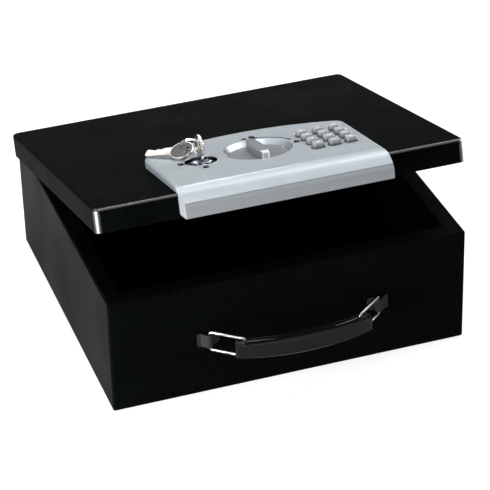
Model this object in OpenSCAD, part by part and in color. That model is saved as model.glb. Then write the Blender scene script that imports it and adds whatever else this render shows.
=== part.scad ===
// Electronic security box: a shallow steel box with a hinged pan lid, a moulded
// control panel with keypad, turning knob and key lock, and a fold-away carry handle.
// Millimetres. The origin is the middle of the base, +Z is up and -Y is the front.
// The lid stands open at open_angle. Everything on it is modelled on the closed lid
// and turned about the hinge pin by in_lid().

/* [Body] */
// Width of the steel body
body_w = 305; // [260:1:380]
// Depth of the steel body, front to back
body_d = 282; // [240:1:340]
// Height of the steel body
body_h = 103; // [85:1:160]
// Thickness of the body and lid sheet
sheet_t = 1.2; // [0.8:0.1:1.6]
// Outside radius of the body's bends
body_bend_r = 2; // [1.7:0.1:3]
// Width of the flange turned in round the rim
rim_flange = 14; // [11:0.5:16]

/* [Lid] */
// Height of the lid, from its top face to the lower edge of its flanges
lid_h = 19.6; // [17:0.1:26]
// How far the closed lid's flanges reach down over the body
lid_overlap = 16.6; // [14:0.1:18]
// Running gap between the body and the lid's front and side flanges
lid_gap = 1.14; // [0.8:0.02:2]
// Gap between the body and the lid's back flange, where the hinge sits
hinge_gap = 4.3; // [3.8:0.1:6]
// Outside radius of the lid's upright corners
lid_corner_r = 6; // [3.5:0.1:6.2]
// Outside radius of the bend round the lid's top
lid_bend_r = 2.2; // [1.7:0.1:3]
// Angle at which the lid stands open
open_angle = 15.6; // [0:0.1:80]

/* [Hinge] */
// Length of the hinge
hinge_len = 240; // [160:1:250]
// Number of knuckles, both leaves together
knuckles = 15; // [7:2:21]
// Height of each leaf beyond the pin
leaf_h = 18; // [12:0.5:20]
// Thickness of the leaves
leaf_t = 1; // [0.8:0.1:1.2]
// Radius of the hinge pin
hinge_pin_r = 1.15; // [0.9:0.05:1.3]
// Radius of the rivets that hold the leaves
rivet_r = 1.6; // [1.2:0.1:2]
// Rivets along each leaf
leaf_rivets = 5; // [3:1:8]
// Distance of the outermost rivets from the hinge's ends
rivet_end = 15; // [8:1:25]

/* [Control panel] */
// Width of the moulded control panel
panel_w = 173.2; // [170:0.2:190]
// Depth of the panel behind the lid's front face, at the middle of its arch
panel_d = 118; // [114:1:130]
// How much less deep the panel is at its sides
panel_arch = 20; // [12:1:26]
// Radius of the panel's two back corners
panel_corner_r = 11; // [6:0.5:16]
// Height of the panel's top over the lid, at the lid's front face
panel_rise = 5.5; // [5.4:0.1:8]
// Fall of the panel's top towards the front, in degrees
panel_slope = 1.5; // [1:0.1:3]
// How far the panel's nose stands out in front of the lid
panel_nose = 18.3; // [14:0.1:22]
// Height of the grey lower band of the nose
nose_band_h = 12; // [9:0.1:13]
// Wall of the moulding
panel_wall = 2; // [1.6:0.1:2.2]
// Radius round the top edge of the panel
panel_edge_r = 3; // [1.5:0.1:4]
// How far in from the panel's side edge its screws stand
boss_inset = 7.6; // [7:0.1:8.5]
// Distance of the two front screws behind the lid's front face
boss_front = 14; // [10:0.5:18]
// Distance of the two back screws behind the lid's front face
boss_back = 86; // [85:0.5:90]
// Distance of the keypad's wire hole behind the lid's front face
wire_hole_y = 100; // [96:0.5:102]

/* [Knob] */
// Distance of the knob's axis behind the lid's front face
knob_y = 60; // [58:0.5:63]
// Radius of the knob's recess at the panel's top
recess_r = 29; // [27.5:0.1:30]
// Depth of the recess
recess_depth = 4; // [3:0.1:4.2]
// Radius of the turning disc at the bottom of the recess
disc_r = 24.8; // [22:0.1:25.5]
// Width of the grip bar at its ends
bar_w = 6.4; // [5:0.1:8]
// Width of the grip bar at its middle
bar_mid_w = 10.5; // [8.5:0.1:13]
// Height of the grip bar over the panel's top
bar_rise = 3.2; // [2:0.1:6]
// Length of the grip bar
bar_len = 45; // [34:0.5:46]
// How far the grip bar is turned clockwise from straight ahead while open, in degrees
bar_turn = 1; // [0:0.5:6]
// Width of the pointer pocket in the bar's front end
pocket_w = 3.8; // [2:0.1:4.4]
// Depth of the pointer pocket
pocket_d = 2.5; // [1:0.1:4]
// Bevel round the top of the grip bar
bar_bevel = 0.5; // [0.2:0.1:1]
// Width of the two stop windows at the foot of the recess wall
stop_w = 2.2; // [1.5:0.1:3]
// Square of the steel spindle
spindle_sq = 6; // [5:0.1:6.4]

/* [Keypad] */
// Middle of the keypad, to the right of the lid's middle
pad_x = 56.9; // [55.5:0.1:57.6]
// Middle of the keypad, behind the lid's front face
pad_y = 53.5; // [51:0.5:54.5]
// Column spacing
key_pitch_x = 14.2; // [13.4:0.1:14.6]
// Row spacing
key_pitch_y = 13.2; // [12.4:0.1:13.3]
// Width of a key
key_w = 10.4; // [9:0.1:11]
// Depth of a key, front to back
key_d = 8.8; // [7:0.1:9.2]
// Height of a key over the panel
key_rise = 4.8; // [3:0.1:5.4]
// Radius of a key's upright corners
key_corner_r = 2.4; // [1.5:0.1:2.6]
// Clearance between a key and its hole
key_gap = 0.3; // [0.2:0.05:0.5]
// Travel of a key
key_travel = 1; // [0.6:0.1:1.1]

/* [Key lock] */
// Distance of the lock's axis to the left of the lid's middle
lock_x = 49; // [47:0.1:51]
// Distance of the lock's axis behind the lid's front face
lock_y = 58.5; // [57:0.5:60]
// Radius of the lock's recess
lock_recess_r = 13.4; // [12.5:0.1:14]
// Radius of the lock's body
barrel_r = 9.5; // [8.5:0.1:10]
// Radius of the turning plug
plug_r = 6.4; // [5.5:0.1:7]
// Length of the lock's body below the recess
barrel_len = 18; // [16:0.1:18.5]
// Thickness of a key
key_t = 2; // [1.6:0.1:2.4]
// Width of a key's blade
blade_w = 7.4; // [6.4:0.1:8]
// Length of a key's blade
blade_len = 17.5; // [15:0.1:18.5]
// Radius of a key's bow
bow_r = 10; // [8.5:0.1:10.5]
// Height of the bow's middle over the panel's top
bow_up = 11.5; // [11:0.1:14]
// Radius of the split ring, to the middle of its wire
ring_r = 9.5; // [9:0.1:10]
// Radius of the split ring's wire, which lies in two turns side by side
ring_wire_r = 0.55; // [0.4:0.05:0.6]

/* [Latch] */
// Travel of the bolt
bolt_travel = 9; // [7:0.1:9.5]
// Clearance between the tongues and the rim flange that they hook under
latch_clear = 1.1; // [0.8:0.1:1.6]
// Thickness of the bolt plate
bolt_t = 3; // [2.4:0.1:3.4]
// Distance of each tongue from the lid's middle
tongue_x = 46; // [36:0.5:60]
// Width of a tongue
tongue_w = 16; // [10:0.5:20]
// Radius of the scroll cam
cam_r = 22; // [21.5:0.1:22.5]
// Thickness of the scroll cam
cam_t = 2.4; // [1.6:0.1:2.6]
// Radius of the bolt's drive pin
drive_pin_r = 2; // [1.6:0.1:2.2]
// Stroke of the solenoid's plunger
plunger_travel = 4; // [3:0.1:4.2]

/* [Lid box] */
// Width of the box under the lid
cover_w = 176; // [175:1:186]
// Front wall of the box under the lid, behind the lid's front face
cover_front = 18.6; // [18.2:0.1:19.4]
// Back wall of the box under the lid, behind the lid's front face
cover_back = 128; // [120:1:150]
// Depth of the box under the lid's sheet
cover_h = 22.8; // [22.4:0.1:28]
// Wall of the box
cover_wall = 1.5; // [1.2:0.1:1.8]
// Diameter of a battery
cell_d = 14.5; // [14:0.1:14.5]
// Length of a battery's can
cell_len = 49.5; // [44:0.1:50.5]
// Width of the thumb notch in the battery door
thumb_w = 16; // [10:0.5:20]
// Depth of the thumb notch, front to back
thumb_d = 5; // [4:0.1:8]

/* [Handle] */
// Offset of the handle's middle to the right
handle_x = 2.2; // [-6:0.1:6]
// Height of the handle's middle
handle_z = 52; // [40:0.5:62]
// Half the distance between the two pivots
pivot_half = 73; // [68:0.5:76]
// Distance of the pivots from the front wall
pivot_out = 3.4; // [3.2:0.1:5]
// Length of each wire bail between its legs
bail_len = 31; // [28:0.1:33]
// Angle at which the bails stand out from the front wall
bail_angle = 39.5; // [32:0.1:42]
// Half the height of a bail, to the middle of its wire
bail_half_h = 8.3; // [8.2:0.1:10]
// Radius of the bail's wire
bail_wire_r = 1.4; // [1:0.1:1.5]
// Thickness of the straps that hold the bails to the front wall
bracket_t = 1; // [0.8:0.1:1.4]
// Clearance round a bail's leg in its strap
bracket_gap = 0.45; // [0.4:0.05:0.7]
// Clearance between a strap and the bail's upper and lower wires
bracket_end_gap = 1.1; // [1:0.1:2]
// Width of the strap's foot on the side of the grip
foot_in = 6.3; // [4:0.1:7]
// Width of the strap's foot on the outer side
foot_out = 1.6; // [1:0.1:4]
// Radius of the inner foot's corners
foot_r = 3.5; // [1:0.1:4]
// Length of the grip
grip_len = 114.5; // [112:0.5:120]
// Thickness of the grip, front to back
grip_t = 10.4; // [9.6:0.1:12]
// Height of the grip at its middle
grip_h = 15.4; // [13:0.1:15.6]
// Height of the grip at its ends
grip_end_h = 11.6; // [10:0.1:12]
// Radius of the grip's bow
grip_bow_r = 180; // [170:1:260]
// Radius of the grip's upright corners
grip_corner_r = 2.5; // [1.5:0.1:3.5]
// Width of the slots that the bails slide in
slot_w = 4; // [3.8:0.1:4.4]
// Thickness of the steel strap in the grip
strap_t = 1; // [0.6:0.1:1.4]

/* [Hidden] */

eps = 0.01;
fine = 96;
mid = 48;
soft = 32;

// Lid and hinge
lid_wall_gap = lid_gap + sheet_t;
lid_w = body_w + 2 * lid_wall_gap;
lid_d = body_d + lid_wall_gap + hinge_gap + sheet_t;
lid_front_y = -body_d / 2 - lid_wall_gap;
lid_bottom_z = body_h - lid_overlap;
lid_top_z = lid_bottom_z + lid_h;
knuckle_r = hinge_gap / 2 - 0.3;
hinge_y = body_d / 2 + hinge_gap / 2;
hinge_z = lid_bottom_z - knuckle_r - 0.1;
knuckle_len = hinge_len / knuckles;
knuckle_gap = 0.3;
knuckle_clear = 0.35;
pin_clear = 0.05;
rivet_head_r = 1.8 * rivet_r;
rivet_head_h = 1.2;
rivet_tail_h = 0.9;
// Width the panel's parts leave free at the rim when the lid is shut
rim_inner_y = lid_wall_gap + rim_flange;

// Panel
lid_clear = 0.1;
panel_half = panel_w / 2;
arch_r = (panel_half * panel_half + panel_arch * panel_arch) / (2 * panel_arch);
nose_bottom = lid_h - 3;
nose_split = nose_bottom - nose_band_h;
crease_y = 1;
disc_gap = recess_r - disc_r - recess_depth > 0 ? 0.4 : 0.3;
disc_t = 2;
pocket_roof = 1.2;
// Where the two stop windows stand round the knob, in degrees
stop_angles = [147.7, -11.4];
shaft_hole_r = 7.4;
boss_r = 7;
cup_t = 1.6;

// Keypad
key_names = ["1", "2", "3", "4", "5", "6", "7", "8", "9", "left", "0", "right"];
key_lip = 0.7;
key_lip_t = 0.8;
key_lip_gap = 0.3;
mat_t = 0.4;
board_t = 1;
mat_top = -panel_wall - key_lip_gap - key_lip_t - key_travel - 0.3;
board_top = mat_top - mat_t;
pad_margin = 2;

// Lock
plug_gap = 0.06;
bezel_t = panel_rise + (lock_y - lock_recess_r) * tan(panel_slope) - recess_depth - 0.05;
keyway_gap = 0.15;
plug_face = -recess_depth - 0.6;
barrel_bottom = -recess_depth - bezel_t - barrel_len;
lock_cam_t = 1.5;
bow_hole_r = 3;
bow_hole_up = 4.1;
neck_w = 8.4;

// Split ring: middle and the two directions of its plane, in the panel's frame
ring_mid = [-lock_x - 3, lock_y + 8, bow_up - 1];
ring_down = [-0.4, 0.78, -0.48];
ring_side = [0.795, 0.032, -0.608];

// Spare key: where its bow hole hangs on the ring, and how it leans
spare_hole = ring_mid + ring_r * ring_down / norm(ring_down);
spare_turn = 141.7;
spare_dip = 5.4;
spare_roll = 24;
spare_dir = [cos(spare_dip) * cos(spare_turn), cos(spare_dip) * sin(spare_turn), -sin(spare_dip)];
spare_flat = [sin(spare_turn), -cos(spare_turn), 0];
spare_across = cos(spare_roll) * spare_flat + sin(spare_roll) * cross(spare_flat, spare_dir);

// Latch, measured down from the lid's top face
bolt_top = lid_h - lid_overlap + sheet_t + latch_clear;
bolt_bottom = bolt_top + bolt_t;
tongue_rest = cover_front - 0.2;
cross_front = cover_front + cover_wall + bolt_travel + 0.9;
cross_back = cross_front + 10;
cross_half = tongue_x + tongue_w / 2 + 4;
stem_half = 12;
stem_back = 97;
scroll_start = 9;
cam_slot_w = 2 * drive_pin_r + 0.6;
knob_axis_drop = panel_rise + knob_y * tan(panel_slope);
// How far behind the lid's front the knob's sloping axis lies at height z
function axis_y(z) = knob_y * cos(panel_slope) + (knob_axis_drop - z) * sin(panel_slope);
cam_top = bolt_bottom + 1.4;
plunger_r = 2;
plunger_y = 81;
notch_w = 2 * plunger_r + 1;
notch_depth = 4;
plunger_z = bolt_top + bolt_t / 2;
plunger_tip = stem_half + 0.6;
guide_t = 1;
guide_w = 4;
guide_y = 84;
guide_gap = 0.3;

// Solenoid
coil_r = 5.4;
coil_right = -27.5;
coil_len = 17;
frame_t = 1.2;

// Batteries
cells = 4;
cell_pitch = cell_d + 0.1;
tray_wall = 1.2;
tray_left = 23.6;
tray_w = cells * cell_pitch + 2 * tray_wall;
tray_y = cross_back + 0.8;
contact_room = 3.4;
tray_d = cell_len + contact_room + 2 * tray_wall;
tray_bottom = cover_h - 0.1;
cell_z = cover_h - 2.3 - cell_d / 2;
tray_top = cell_z - cell_pitch / 2 - tray_wall;
door_margin = 3.4;
door_gap = 0.3;

// Handle
face_y = -body_d / 2;
bracket_r = bail_wire_r + bracket_gap;
bracket_h = 2 * (bail_half_h - bail_wire_r - bracket_end_gap);
bend_r = 3;
leg_u = pivot_half - bail_len * cos(bail_angle);
leg_out = pivot_out + bail_len * sin(bail_angle);
slot_radius = grip_bow_r - 1.4;
bow_centre = leg_out - sqrt(slot_radius * slot_radius - leg_u * leg_u);
slot_inner = 26;
slot_outer = leg_u + 2.6;
strap_w = slot_w + 2;
strap_end = slot_outer + slot_w / 2 + 1;
strap_z = 4.2;

// Turns the closed lid's frame to the open pose.
// In that frame y is the distance behind the lid's front face and z the height over its top face.
module in_lid() {
    translate([0, hinge_y, hinge_z])
        rotate([-open_angle, 0, 0])
            translate([0, lid_front_y - hinge_y, lid_top_z - hinge_z])
                children();
}

// The panel's own frame: z is the height over its sloping top.
module in_panel() {
    in_lid() translate([0, 0, panel_rise]) rotate([panel_slope, 0, 0]) children();
}

module at_knob() { in_panel() translate([0, knob_y, 0]) children(); }
module at_lock() { in_panel() translate([-lock_x, lock_y, 0]) children(); }

// A flat rounded rectangle of exact arcs, standing on z = 0.
module rounded_plate(w, d, h, r) {
    linear_extrude(h) union() {
        square([w - 2 * r, d], center = true);
        square([w, d - 2 * r], center = true);
        for (sx = [-1, 1], sy = [-1, 1])
            translate([sx * (w / 2 - r), sy * (d / 2 - r)]) circle(r, $fn = soft);
    }
}

// A box with every edge rounded, standing on z = 0.
module soft_box(w, d, h, r) {
    hull()
        for (sx = [-1, 1], sy = [-1, 1], sz = [r, h - r])
            translate([sx * (w / 2 - r), sy * (d / 2 - r), sz]) sphere(r, $fn = soft);
}

// A pan's outline: upright corners of radius rc and a top bend of radius rt, hanging down from z = 0.
module pan(w, d, h, rc, rt) {
    hull()
        for (sx = [-1, 1], sy = [-1, 1])
            translate([sx * (w / 2 - rc), sy * (d / 2 - rc), 0]) {
                translate([0, 0, -h]) cylinder(r = rc, h = h - rt, $fn = soft);
                translate([0, 0, -rt])
                    rotate_extrude($fn = soft) translate([rc - rt, 0]) circle(rt, $fn = soft);
            }
}

function rivet_x(i) = (i - (leaf_rivets - 1) / 2) * (hinge_len - 2 * rivet_end) / (leaf_rivets - 1);

// Body

module body_shell() {
    color([0.07, 0.07, 0.075])
        difference() {
            soft_box(body_w, body_d, body_h, body_bend_r);
            translate([0, 0, sheet_t])
                soft_box(body_w - 2 * sheet_t, body_d - 2 * sheet_t, body_h - 2 * sheet_t, body_bend_r - sheet_t);
            translate([rim_flange - body_w / 2, rim_flange - body_d / 2, body_h / 2])
                cube([body_w - 2 * rim_flange, body_d - 2 * rim_flange, body_h]);
            for (i = [0 : leaf_rivets - 1])
                translate([rivet_x(i), body_d / 2 + eps, hinge_z - leaf_h / 2 - knuckle_r])
                    rotate([90, 0, 0]) cylinder(r = rivet_r, h = sheet_t + 2 * eps, $fn = mid);
        }
}

// Hinge

module hinge_leaf_plate(wall_y, up) {
    plate_h = leaf_h + knuckle_r;
    translate([-hinge_len / 2, wall_y, up > 0 ? hinge_z : hinge_z - plate_h]) cube([hinge_len, leaf_t, plate_h]);
}

// Knuckles of one leaf: every second one, from first.
module knuckle_row(first, r, extra) {
    for (i = [first : 2 : knuckles - 1])
        translate([-hinge_len / 2 + i * knuckle_len + knuckle_gap / 2 - extra, hinge_y, hinge_z])
            rotate([0, 90, 0]) cylinder(r = r, h = knuckle_len - knuckle_gap + 2 * extra, $fn = mid);
}

module pin_bore() {
    translate([-hinge_len / 2 - 1, hinge_y, hinge_z])
        rotate([0, 90, 0]) cylinder(r = hinge_pin_r + pin_clear, h = hinge_len + 2, $fn = mid);
}

module leaf_rivet_holes(z) {
    for (i = [0 : leaf_rivets - 1])
        translate([rivet_x(i), hinge_y + hinge_gap, z])
            rotate([90, 0, 0]) cylinder(r = rivet_r, h = 2 * hinge_gap, $fn = mid);
}

module hinge_body_leaf() {
    color([0.09, 0.09, 0.095])
        difference() {
            union() {
                hinge_leaf_plate(body_d / 2, -1);
                knuckle_row(0, knuckle_r, 0);
            }
            knuckle_row(1, knuckle_r + knuckle_clear, knuckle_gap);
            pin_bore();
            leaf_rivet_holes(hinge_z - leaf_h / 2 - knuckle_r);
        }
}

// Modelled shut in the body's frame, then turned open with the lid.
module turn_open() {
    translate([0, hinge_y, hinge_z]) rotate([-open_angle, 0, 0]) translate([0, -hinge_y, -hinge_z]) children();
}

module hinge_lid_leaf() {
    color([0.09, 0.09, 0.095])
        turn_open() difference() {
            union() {
                hinge_leaf_plate(body_d / 2 + hinge_gap - leaf_t, 1);
                knuckle_row(1, knuckle_r, 0);
            }
            knuckle_row(0, knuckle_r + knuckle_clear, knuckle_gap);
            pin_bore();
            leaf_rivet_holes(hinge_z + leaf_h / 2 + knuckle_r / 2);
            translate([-hinge_len, 0, lid_top_z - sheet_t - lid_bend_r]) cube([2 * hinge_len, body_d, lid_h]);
        }
}

module hinge_pin() {
    color([0.62, 0.63, 0.65])
        translate([-hinge_len / 2 - 0.4, hinge_y, hinge_z])
            rotate([0, 90, 0]) {
                cylinder(r = hinge_pin_r, h = hinge_len + 0.8, $fn = mid);
                translate([0, 0, -0.8]) cylinder(r = knuckle_r - 0.4, h = 0.8, $fn = mid);
                translate([0, 0, hinge_len + 0.8]) cylinder(r = knuckle_r - 0.4, h = 0.8, $fn = mid);
            }
}

// A rivet along +Z: domed head under z = 0, shank through grip, flat tail above it.
module rivet(grip) {
    intersection() {
        translate([0, 0, rivet_head_r - rivet_head_h]) sphere(rivet_head_r * 1.05, $fn = soft);
        translate([0, 0, -rivet_head_h]) cylinder(r = rivet_head_r, h = rivet_head_h, $fn = soft);
    }
    cylinder(r = rivet_r, h = grip, $fn = mid);
    translate([0, 0, grip]) cylinder(r = rivet_r * 1.5, h = rivet_tail_h, $fn = mid);
}

module hinge_body_rivets() {
    color([0.12, 0.12, 0.125])
        for (i = [0 : leaf_rivets - 1])
            translate([rivet_x(i), body_d / 2 + leaf_t, hinge_z - leaf_h / 2 - knuckle_r])
                rotate([90, 0, 0]) rivet(leaf_t + sheet_t);
}

module hinge_lid_rivets() {
    color([0.12, 0.12, 0.125])
        turn_open() for (i = [0 : leaf_rivets - 1])
            translate([rivet_x(i), body_d / 2 + hinge_gap + sheet_t, hinge_z + leaf_h / 2 + knuckle_r / 2])
                rotate([90, 0, 0]) rivet(leaf_t + sheet_t);
}

// Lid

function boss_spots() = [for (sx = [-1, 1], y = [boss_front, boss_back]) [sx * (panel_half - boss_inset), y]];
function cover_spots() = [for (sx = [-1, 1], y = [cover_front + 6.5, cover_back - 6.5]) [sx * (cover_w / 2 - 6.5), y]];

module lid_shell() {
    color([0.07, 0.07, 0.075])
        in_lid() difference() {
            translate([0, lid_d / 2, 0]) pan(lid_w, lid_d, lid_h, lid_corner_r, lid_bend_r);
            translate([0, lid_d / 2, -sheet_t])
                pan(lid_w - 2 * sheet_t, lid_d - 2 * sheet_t, lid_h, lid_corner_r - sheet_t, lid_bend_r - sheet_t);
            translate([0, knob_y, -2 * sheet_t]) cylinder(r = shaft_hole_r + 0.6, h = 4 * sheet_t, $fn = mid);
            translate([-lock_x, lock_y, -2 * sheet_t]) cylinder(r = barrel_r + 0.4, h = 4 * sheet_t, $fn = mid);
            translate([pad_x, wire_hole_y, -2 * sheet_t]) cylinder(r = 4, h = 4 * sheet_t, $fn = mid);
            for (p = boss_spots())
                translate([p[0], p[1], -2 * sheet_t]) cylinder(r = 1.7, h = 4 * sheet_t, $fn = mid);
            for (i = [0 : leaf_rivets - 1])
                translate([rivet_x(i), lid_d + eps, hinge_z + leaf_h / 2 + knuckle_r / 2 - lid_top_z])
                    rotate([90, 0, 0]) cylinder(r = rivet_r, h = sheet_t + 2 * eps, $fn = mid);
        }
}

// Control panel

// Plan of the panel, its back corners rounded and its arched back edge; grow shrinks it when negative.
module panel_plan(grow) {
    offset(delta = grow)
        offset(r = panel_corner_r, $fn = mid) offset(delta = -panel_corner_r)
            intersection() {
                translate([-panel_half, -4 * panel_nose]) square([panel_w, panel_d + 4 * panel_nose]);
                translate([0, panel_d - arch_r]) circle(arch_r, $fn = 150);
            }
}

// Side view of the panel: the sloping top, the rounded crease, the bowed face and the upright band.
// back_off moves the edges that lie on the lid inwards, to open the hollow.
module panel_side(back_off) {
    top_y = panel_d + 10;
    crease = [crease_y, panel_rise + crease_y * tan(panel_slope)];
    split = [1.4 - panel_nose, -nose_split];
    face_n = 8;
    face_bow = 1.9;
    along = split - crease;
    normal = [along[1], -along[0]] / norm(along);
    face = [for (i = [0 : face_n]) crease + along * i / face_n - normal * face_bow * 4 * (i / face_n) * (1 - i / face_n) * -1];
    polygon(concat(
        [[top_y, lid_clear - back_off], [top_y, panel_rise + top_y * tan(panel_slope)]],
        face,
        [[-panel_nose, -nose_split - 3], [-panel_nose, -nose_bottom + 3], [0.7 - panel_nose, -nose_bottom],
         [-lid_clear + back_off, -nose_bottom], [-lid_clear + back_off, lid_clear - back_off]]
    ));
}

module across_panel() {
    rotate([90, 0, 90]) linear_extrude(2 * panel_w, center = true) children();
}

// The whole outer form of the moulding, its top edge rounded all round.
module panel_form() {
    intersection() {
        across_panel() offset(r = 1.2, $fn = soft) offset(delta = -1.2) panel_side(0);
        hull() {
            translate([0, 0, -2 * lid_h]) linear_extrude(eps) panel_plan(0);
            translate([0, 0, panel_rise]) rotate([panel_slope, 0, 0])
                for (a = [0 : 18 : 90])
                    translate([0, 0, -panel_edge_r * (1 - sin(a)) - eps])
                        linear_extrude(eps) panel_plan(-panel_edge_r * (1 - cos(a)));
        }
    }
}

module panel_hollow() {
    intersection() {
        across_panel() offset(delta = -panel_wall) panel_side(3 * panel_wall);
        translate([0, 0, -2 * lid_h]) linear_extrude(4 * lid_h) panel_plan(-panel_wall);
    }
}

function key_col(i) = i % 3 - 1;
function key_row(i) = 1.5 - floor(i / 3);

module at_key(i) {
    in_panel() translate([pad_x + key_col(i) * key_pitch_x, pad_y + key_row(i) * key_pitch_y, 0]) children();
}

module in_sloped() { translate([0, 0, panel_rise]) rotate([panel_slope, 0, 0]) children(); }

module panel_housing() {
    color([0.66, 0.7, 0.74])
        in_lid() difference() {
            union() {
                difference() {
                    panel_form();
                    panel_hollow();
                }
                in_sloped() {
                    translate([0, knob_y, -recess_depth - cup_t])
                        cylinder(r1 = disc_r + disc_gap + cup_t, r2 = recess_r + cup_t, h = recess_depth, $fn = fine);
                    translate([-lock_x, lock_y, -recess_depth - 0.6])
                        cylinder(r = lock_recess_r + cup_t, h = recess_depth, $fn = mid);
                }
                intersection() {
                    panel_form();
                    union() {
                        for (p = boss_spots())
                            translate([p[0], p[1], lid_clear]) cylinder(r = 3.2, h = panel_rise + 2, $fn = mid);
                        for (x = [-2.5 : 1 : 2.5])
                            translate([x * panel_w / 6.5, -panel_nose, -nose_bottom])
                                cube([1.2, panel_nose - lid_clear - 0.4, nose_bottom + panel_rise]);
                    }
                }
            }
            in_sloped() {
                translate([0, knob_y, -recess_depth])
                    cylinder(r1 = disc_r + disc_gap, r2 = recess_r, h = recess_depth, $fn = fine);
                translate([0, knob_y, -recess_depth - 2 * cup_t])
                    cylinder(r = disc_r + disc_gap, h = 2 * cup_t + eps, $fn = fine);
                translate([0, knob_y, -eps]) cylinder(r = recess_r, h = 2, $fn = fine);
                for (a = stop_angles)
                    translate([0, knob_y, -recess_depth - 2 * cup_t]) rotate([0, 0, a])
                        translate([disc_r, -stop_w / 2, 0]) cube([stop_w, stop_w, 2 * cup_t + stop_w - 1]);
                translate([-lock_x, lock_y, -2 * recess_depth])
                    cylinder(r = lock_recess_r, h = 3 * recess_depth, $fn = mid);
                translate([-lock_x, lock_y, -0.8])
                    cylinder(r1 = lock_recess_r, r2 = lock_recess_r + 1, h = 1, $fn = mid);
                for (i = [0 : 11])
                    translate([pad_x + key_col(i) * key_pitch_x, pad_y + key_row(i) * key_pitch_y, -2 * panel_wall])
                        rounded_plate(key_w + 2 * key_gap, key_d + 2 * key_gap, 3 * panel_wall, key_corner_r);
            }
            for (p = boss_spots())
                translate([p[0], p[1], -eps]) cylinder(r = 1.15, h = 4.2, $fn = soft);
            translate([0, 1.4 - panel_nose, -nose_split])
                rotate([45, 0, 0]) cube([2 * panel_w, 0.9, 0.9], center = true);
        }
}

// A pan-head screw driven up: head under z = 0.
module screw_up(r, length, head_r, head_h) {
    translate([0, 0, -head_h]) difference() {
        cylinder(r = head_r, h = head_h, $fn = soft);
        for (a = [0, 90]) rotate([0, 0, a]) cube([1.2 * head_r, 0.7, head_h], center = true);
    }
    cylinder(r = r, h = length, $fn = soft);
}

module panel_screws() {
    color([0.6, 0.61, 0.63])
        in_lid() for (p = boss_spots())
            translate([p[0], p[1], -sheet_t]) screw_up(1.1, 4.6, 2.6, 1.3);
}

// Keypad

module keypad_board() {
    color([0.1, 0.32, 0.16])
        in_panel() translate([pad_x, pad_y, board_top - board_t])
            rounded_plate(3 * key_pitch_x + pad_margin, 4 * key_pitch_y + pad_margin, board_t, 1.5);
}

module keypad_mat() {
    color([0.2, 0.2, 0.21])
        in_panel() translate([pad_x, pad_y, board_top]) {
            rounded_plate(3 * key_pitch_x + pad_margin, 4 * key_pitch_y + pad_margin, mat_t, 1.5);
        }
}

// A key cap: a lip that holds it under the panel, a tapered body and a dished top.
module key_cap(i) {
    taper = 0.55;
    edge = 0.9;
    color([0.68, 0.71, 0.75])
        at_key(i) difference() {
            union() {
                translate([0, 0, -panel_wall - key_lip_gap - key_lip_t])
                    rounded_plate(key_w + 2 * key_lip, key_d + 2 * key_lip, key_lip_t, key_corner_r);
                hull() {
                    translate([0, 0, -panel_wall - key_lip_gap - eps]) rounded_plate(key_w, key_d, eps, key_corner_r);
                    for (a = [0 : 30 : 90])
                        translate([0, 0, key_rise - edge * (1 - sin(a)) - eps])
                            rounded_plate(key_w - 2 * taper - 2 * edge * (1 - cos(a)), key_d - 2 * taper - 2 * edge * (1 - cos(a)),
                                          eps, key_corner_r - 0.2);
                }
            }
            translate([0, 0, key_rise + key_w - 0.5]) scale([1, 1, 1]) rotate([0, 90, 0])
                cylinder(r = key_w, h = key_w - 3.2, center = true, $fn = fine);
        }
}

// Knob

module knob() {
    color([0.7, 0.73, 0.77])
        at_knob() difference() {
            union() {
                translate([0, 0, -recess_depth - disc_t]) cylinder(r = disc_r, h = disc_t, $fn = fine);
                translate([0, 0, -bolt_top - knob_axis_drop + 0.8])
                    cylinder(r = boss_r, h = bolt_top + knob_axis_drop - 0.8 - recess_depth - eps, $fn = mid);
                intersection() {
                    rotate([0, 0, -bar_turn]) knob_bar();
                    translate([0, 0, -recess_depth - eps]) cylinder(r = disc_r, h = recess_depth + bar_rise + 1, $fn = fine);
                }
            }
            translate([0, 0, -bolt_top - knob_axis_drop])
                linear_extrude(bolt_top + knob_axis_drop - recess_depth) square(spindle_sq + 0.1, center = true);
            rotate([0, 0, -bar_turn]) translate([-pocket_w / 2, -bar_len / 2 - 1, -recess_depth])
                cube([pocket_w, pocket_d + 1, recess_depth + bar_rise - pocket_roof]);
        }
}

// The grip bar seen from above is a lens with square ends, its sides upright.
module knob_bar() {
    half = bar_len / 2;
    belly = (bar_mid_w - bar_w) / 2;
    side_r = (half * half + belly * belly) / (2 * belly);
    foot = -recess_depth - eps;
    intersection() {
        bar_side(1, side_r, foot);
        bar_side(-1, side_r, foot);
        rotate([90, 0, 90]) linear_extrude(2 * bar_mid_w, center = true)
            polygon([[-half, foot], [half, foot], [half, bar_rise - bar_bevel], [half - bar_bevel, bar_rise],
                     [bar_bevel - half, bar_rise], [-half, bar_rise - bar_bevel]]);
    }
}

// The round body whose far side is one side of the bar, bevelled at its top.
module bar_side(side, side_r, foot) {
    translate([side * (side_r - bar_mid_w / 2), 0, 0]) {
        translate([0, 0, foot]) cylinder(r = side_r, h = bar_rise - bar_bevel - foot, $fn = 360);
        translate([0, 0, bar_rise - bar_bevel]) cylinder(r1 = side_r, r2 = side_r - bar_bevel, h = bar_bevel, $fn = 360);
    }
}

module spindle() {
    color([0.55, 0.56, 0.58])
        at_knob() {
            translate([0, 0, -cam_top - cam_t - knob_axis_drop]) linear_extrude(cam_top + cam_t + knob_axis_drop - recess_depth - 1)
                square(spindle_sq, center = true);
            translate([0, 0, -cam_top - cam_t - knob_axis_drop - 2]) cylinder(r = spindle_sq / 2 - 0.4, h = 2 + eps, $fn = mid);
        }
}

function scroll_r(a) = scroll_start + bolt_travel * a / 90;
// Half the slot's width along the radius, so that it is cam_slot_w wide across its own slant
function slot_half(a) = cam_slot_w / 2 * norm([1, bolt_travel * 2 / PI / scroll_r(a)]);

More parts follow.
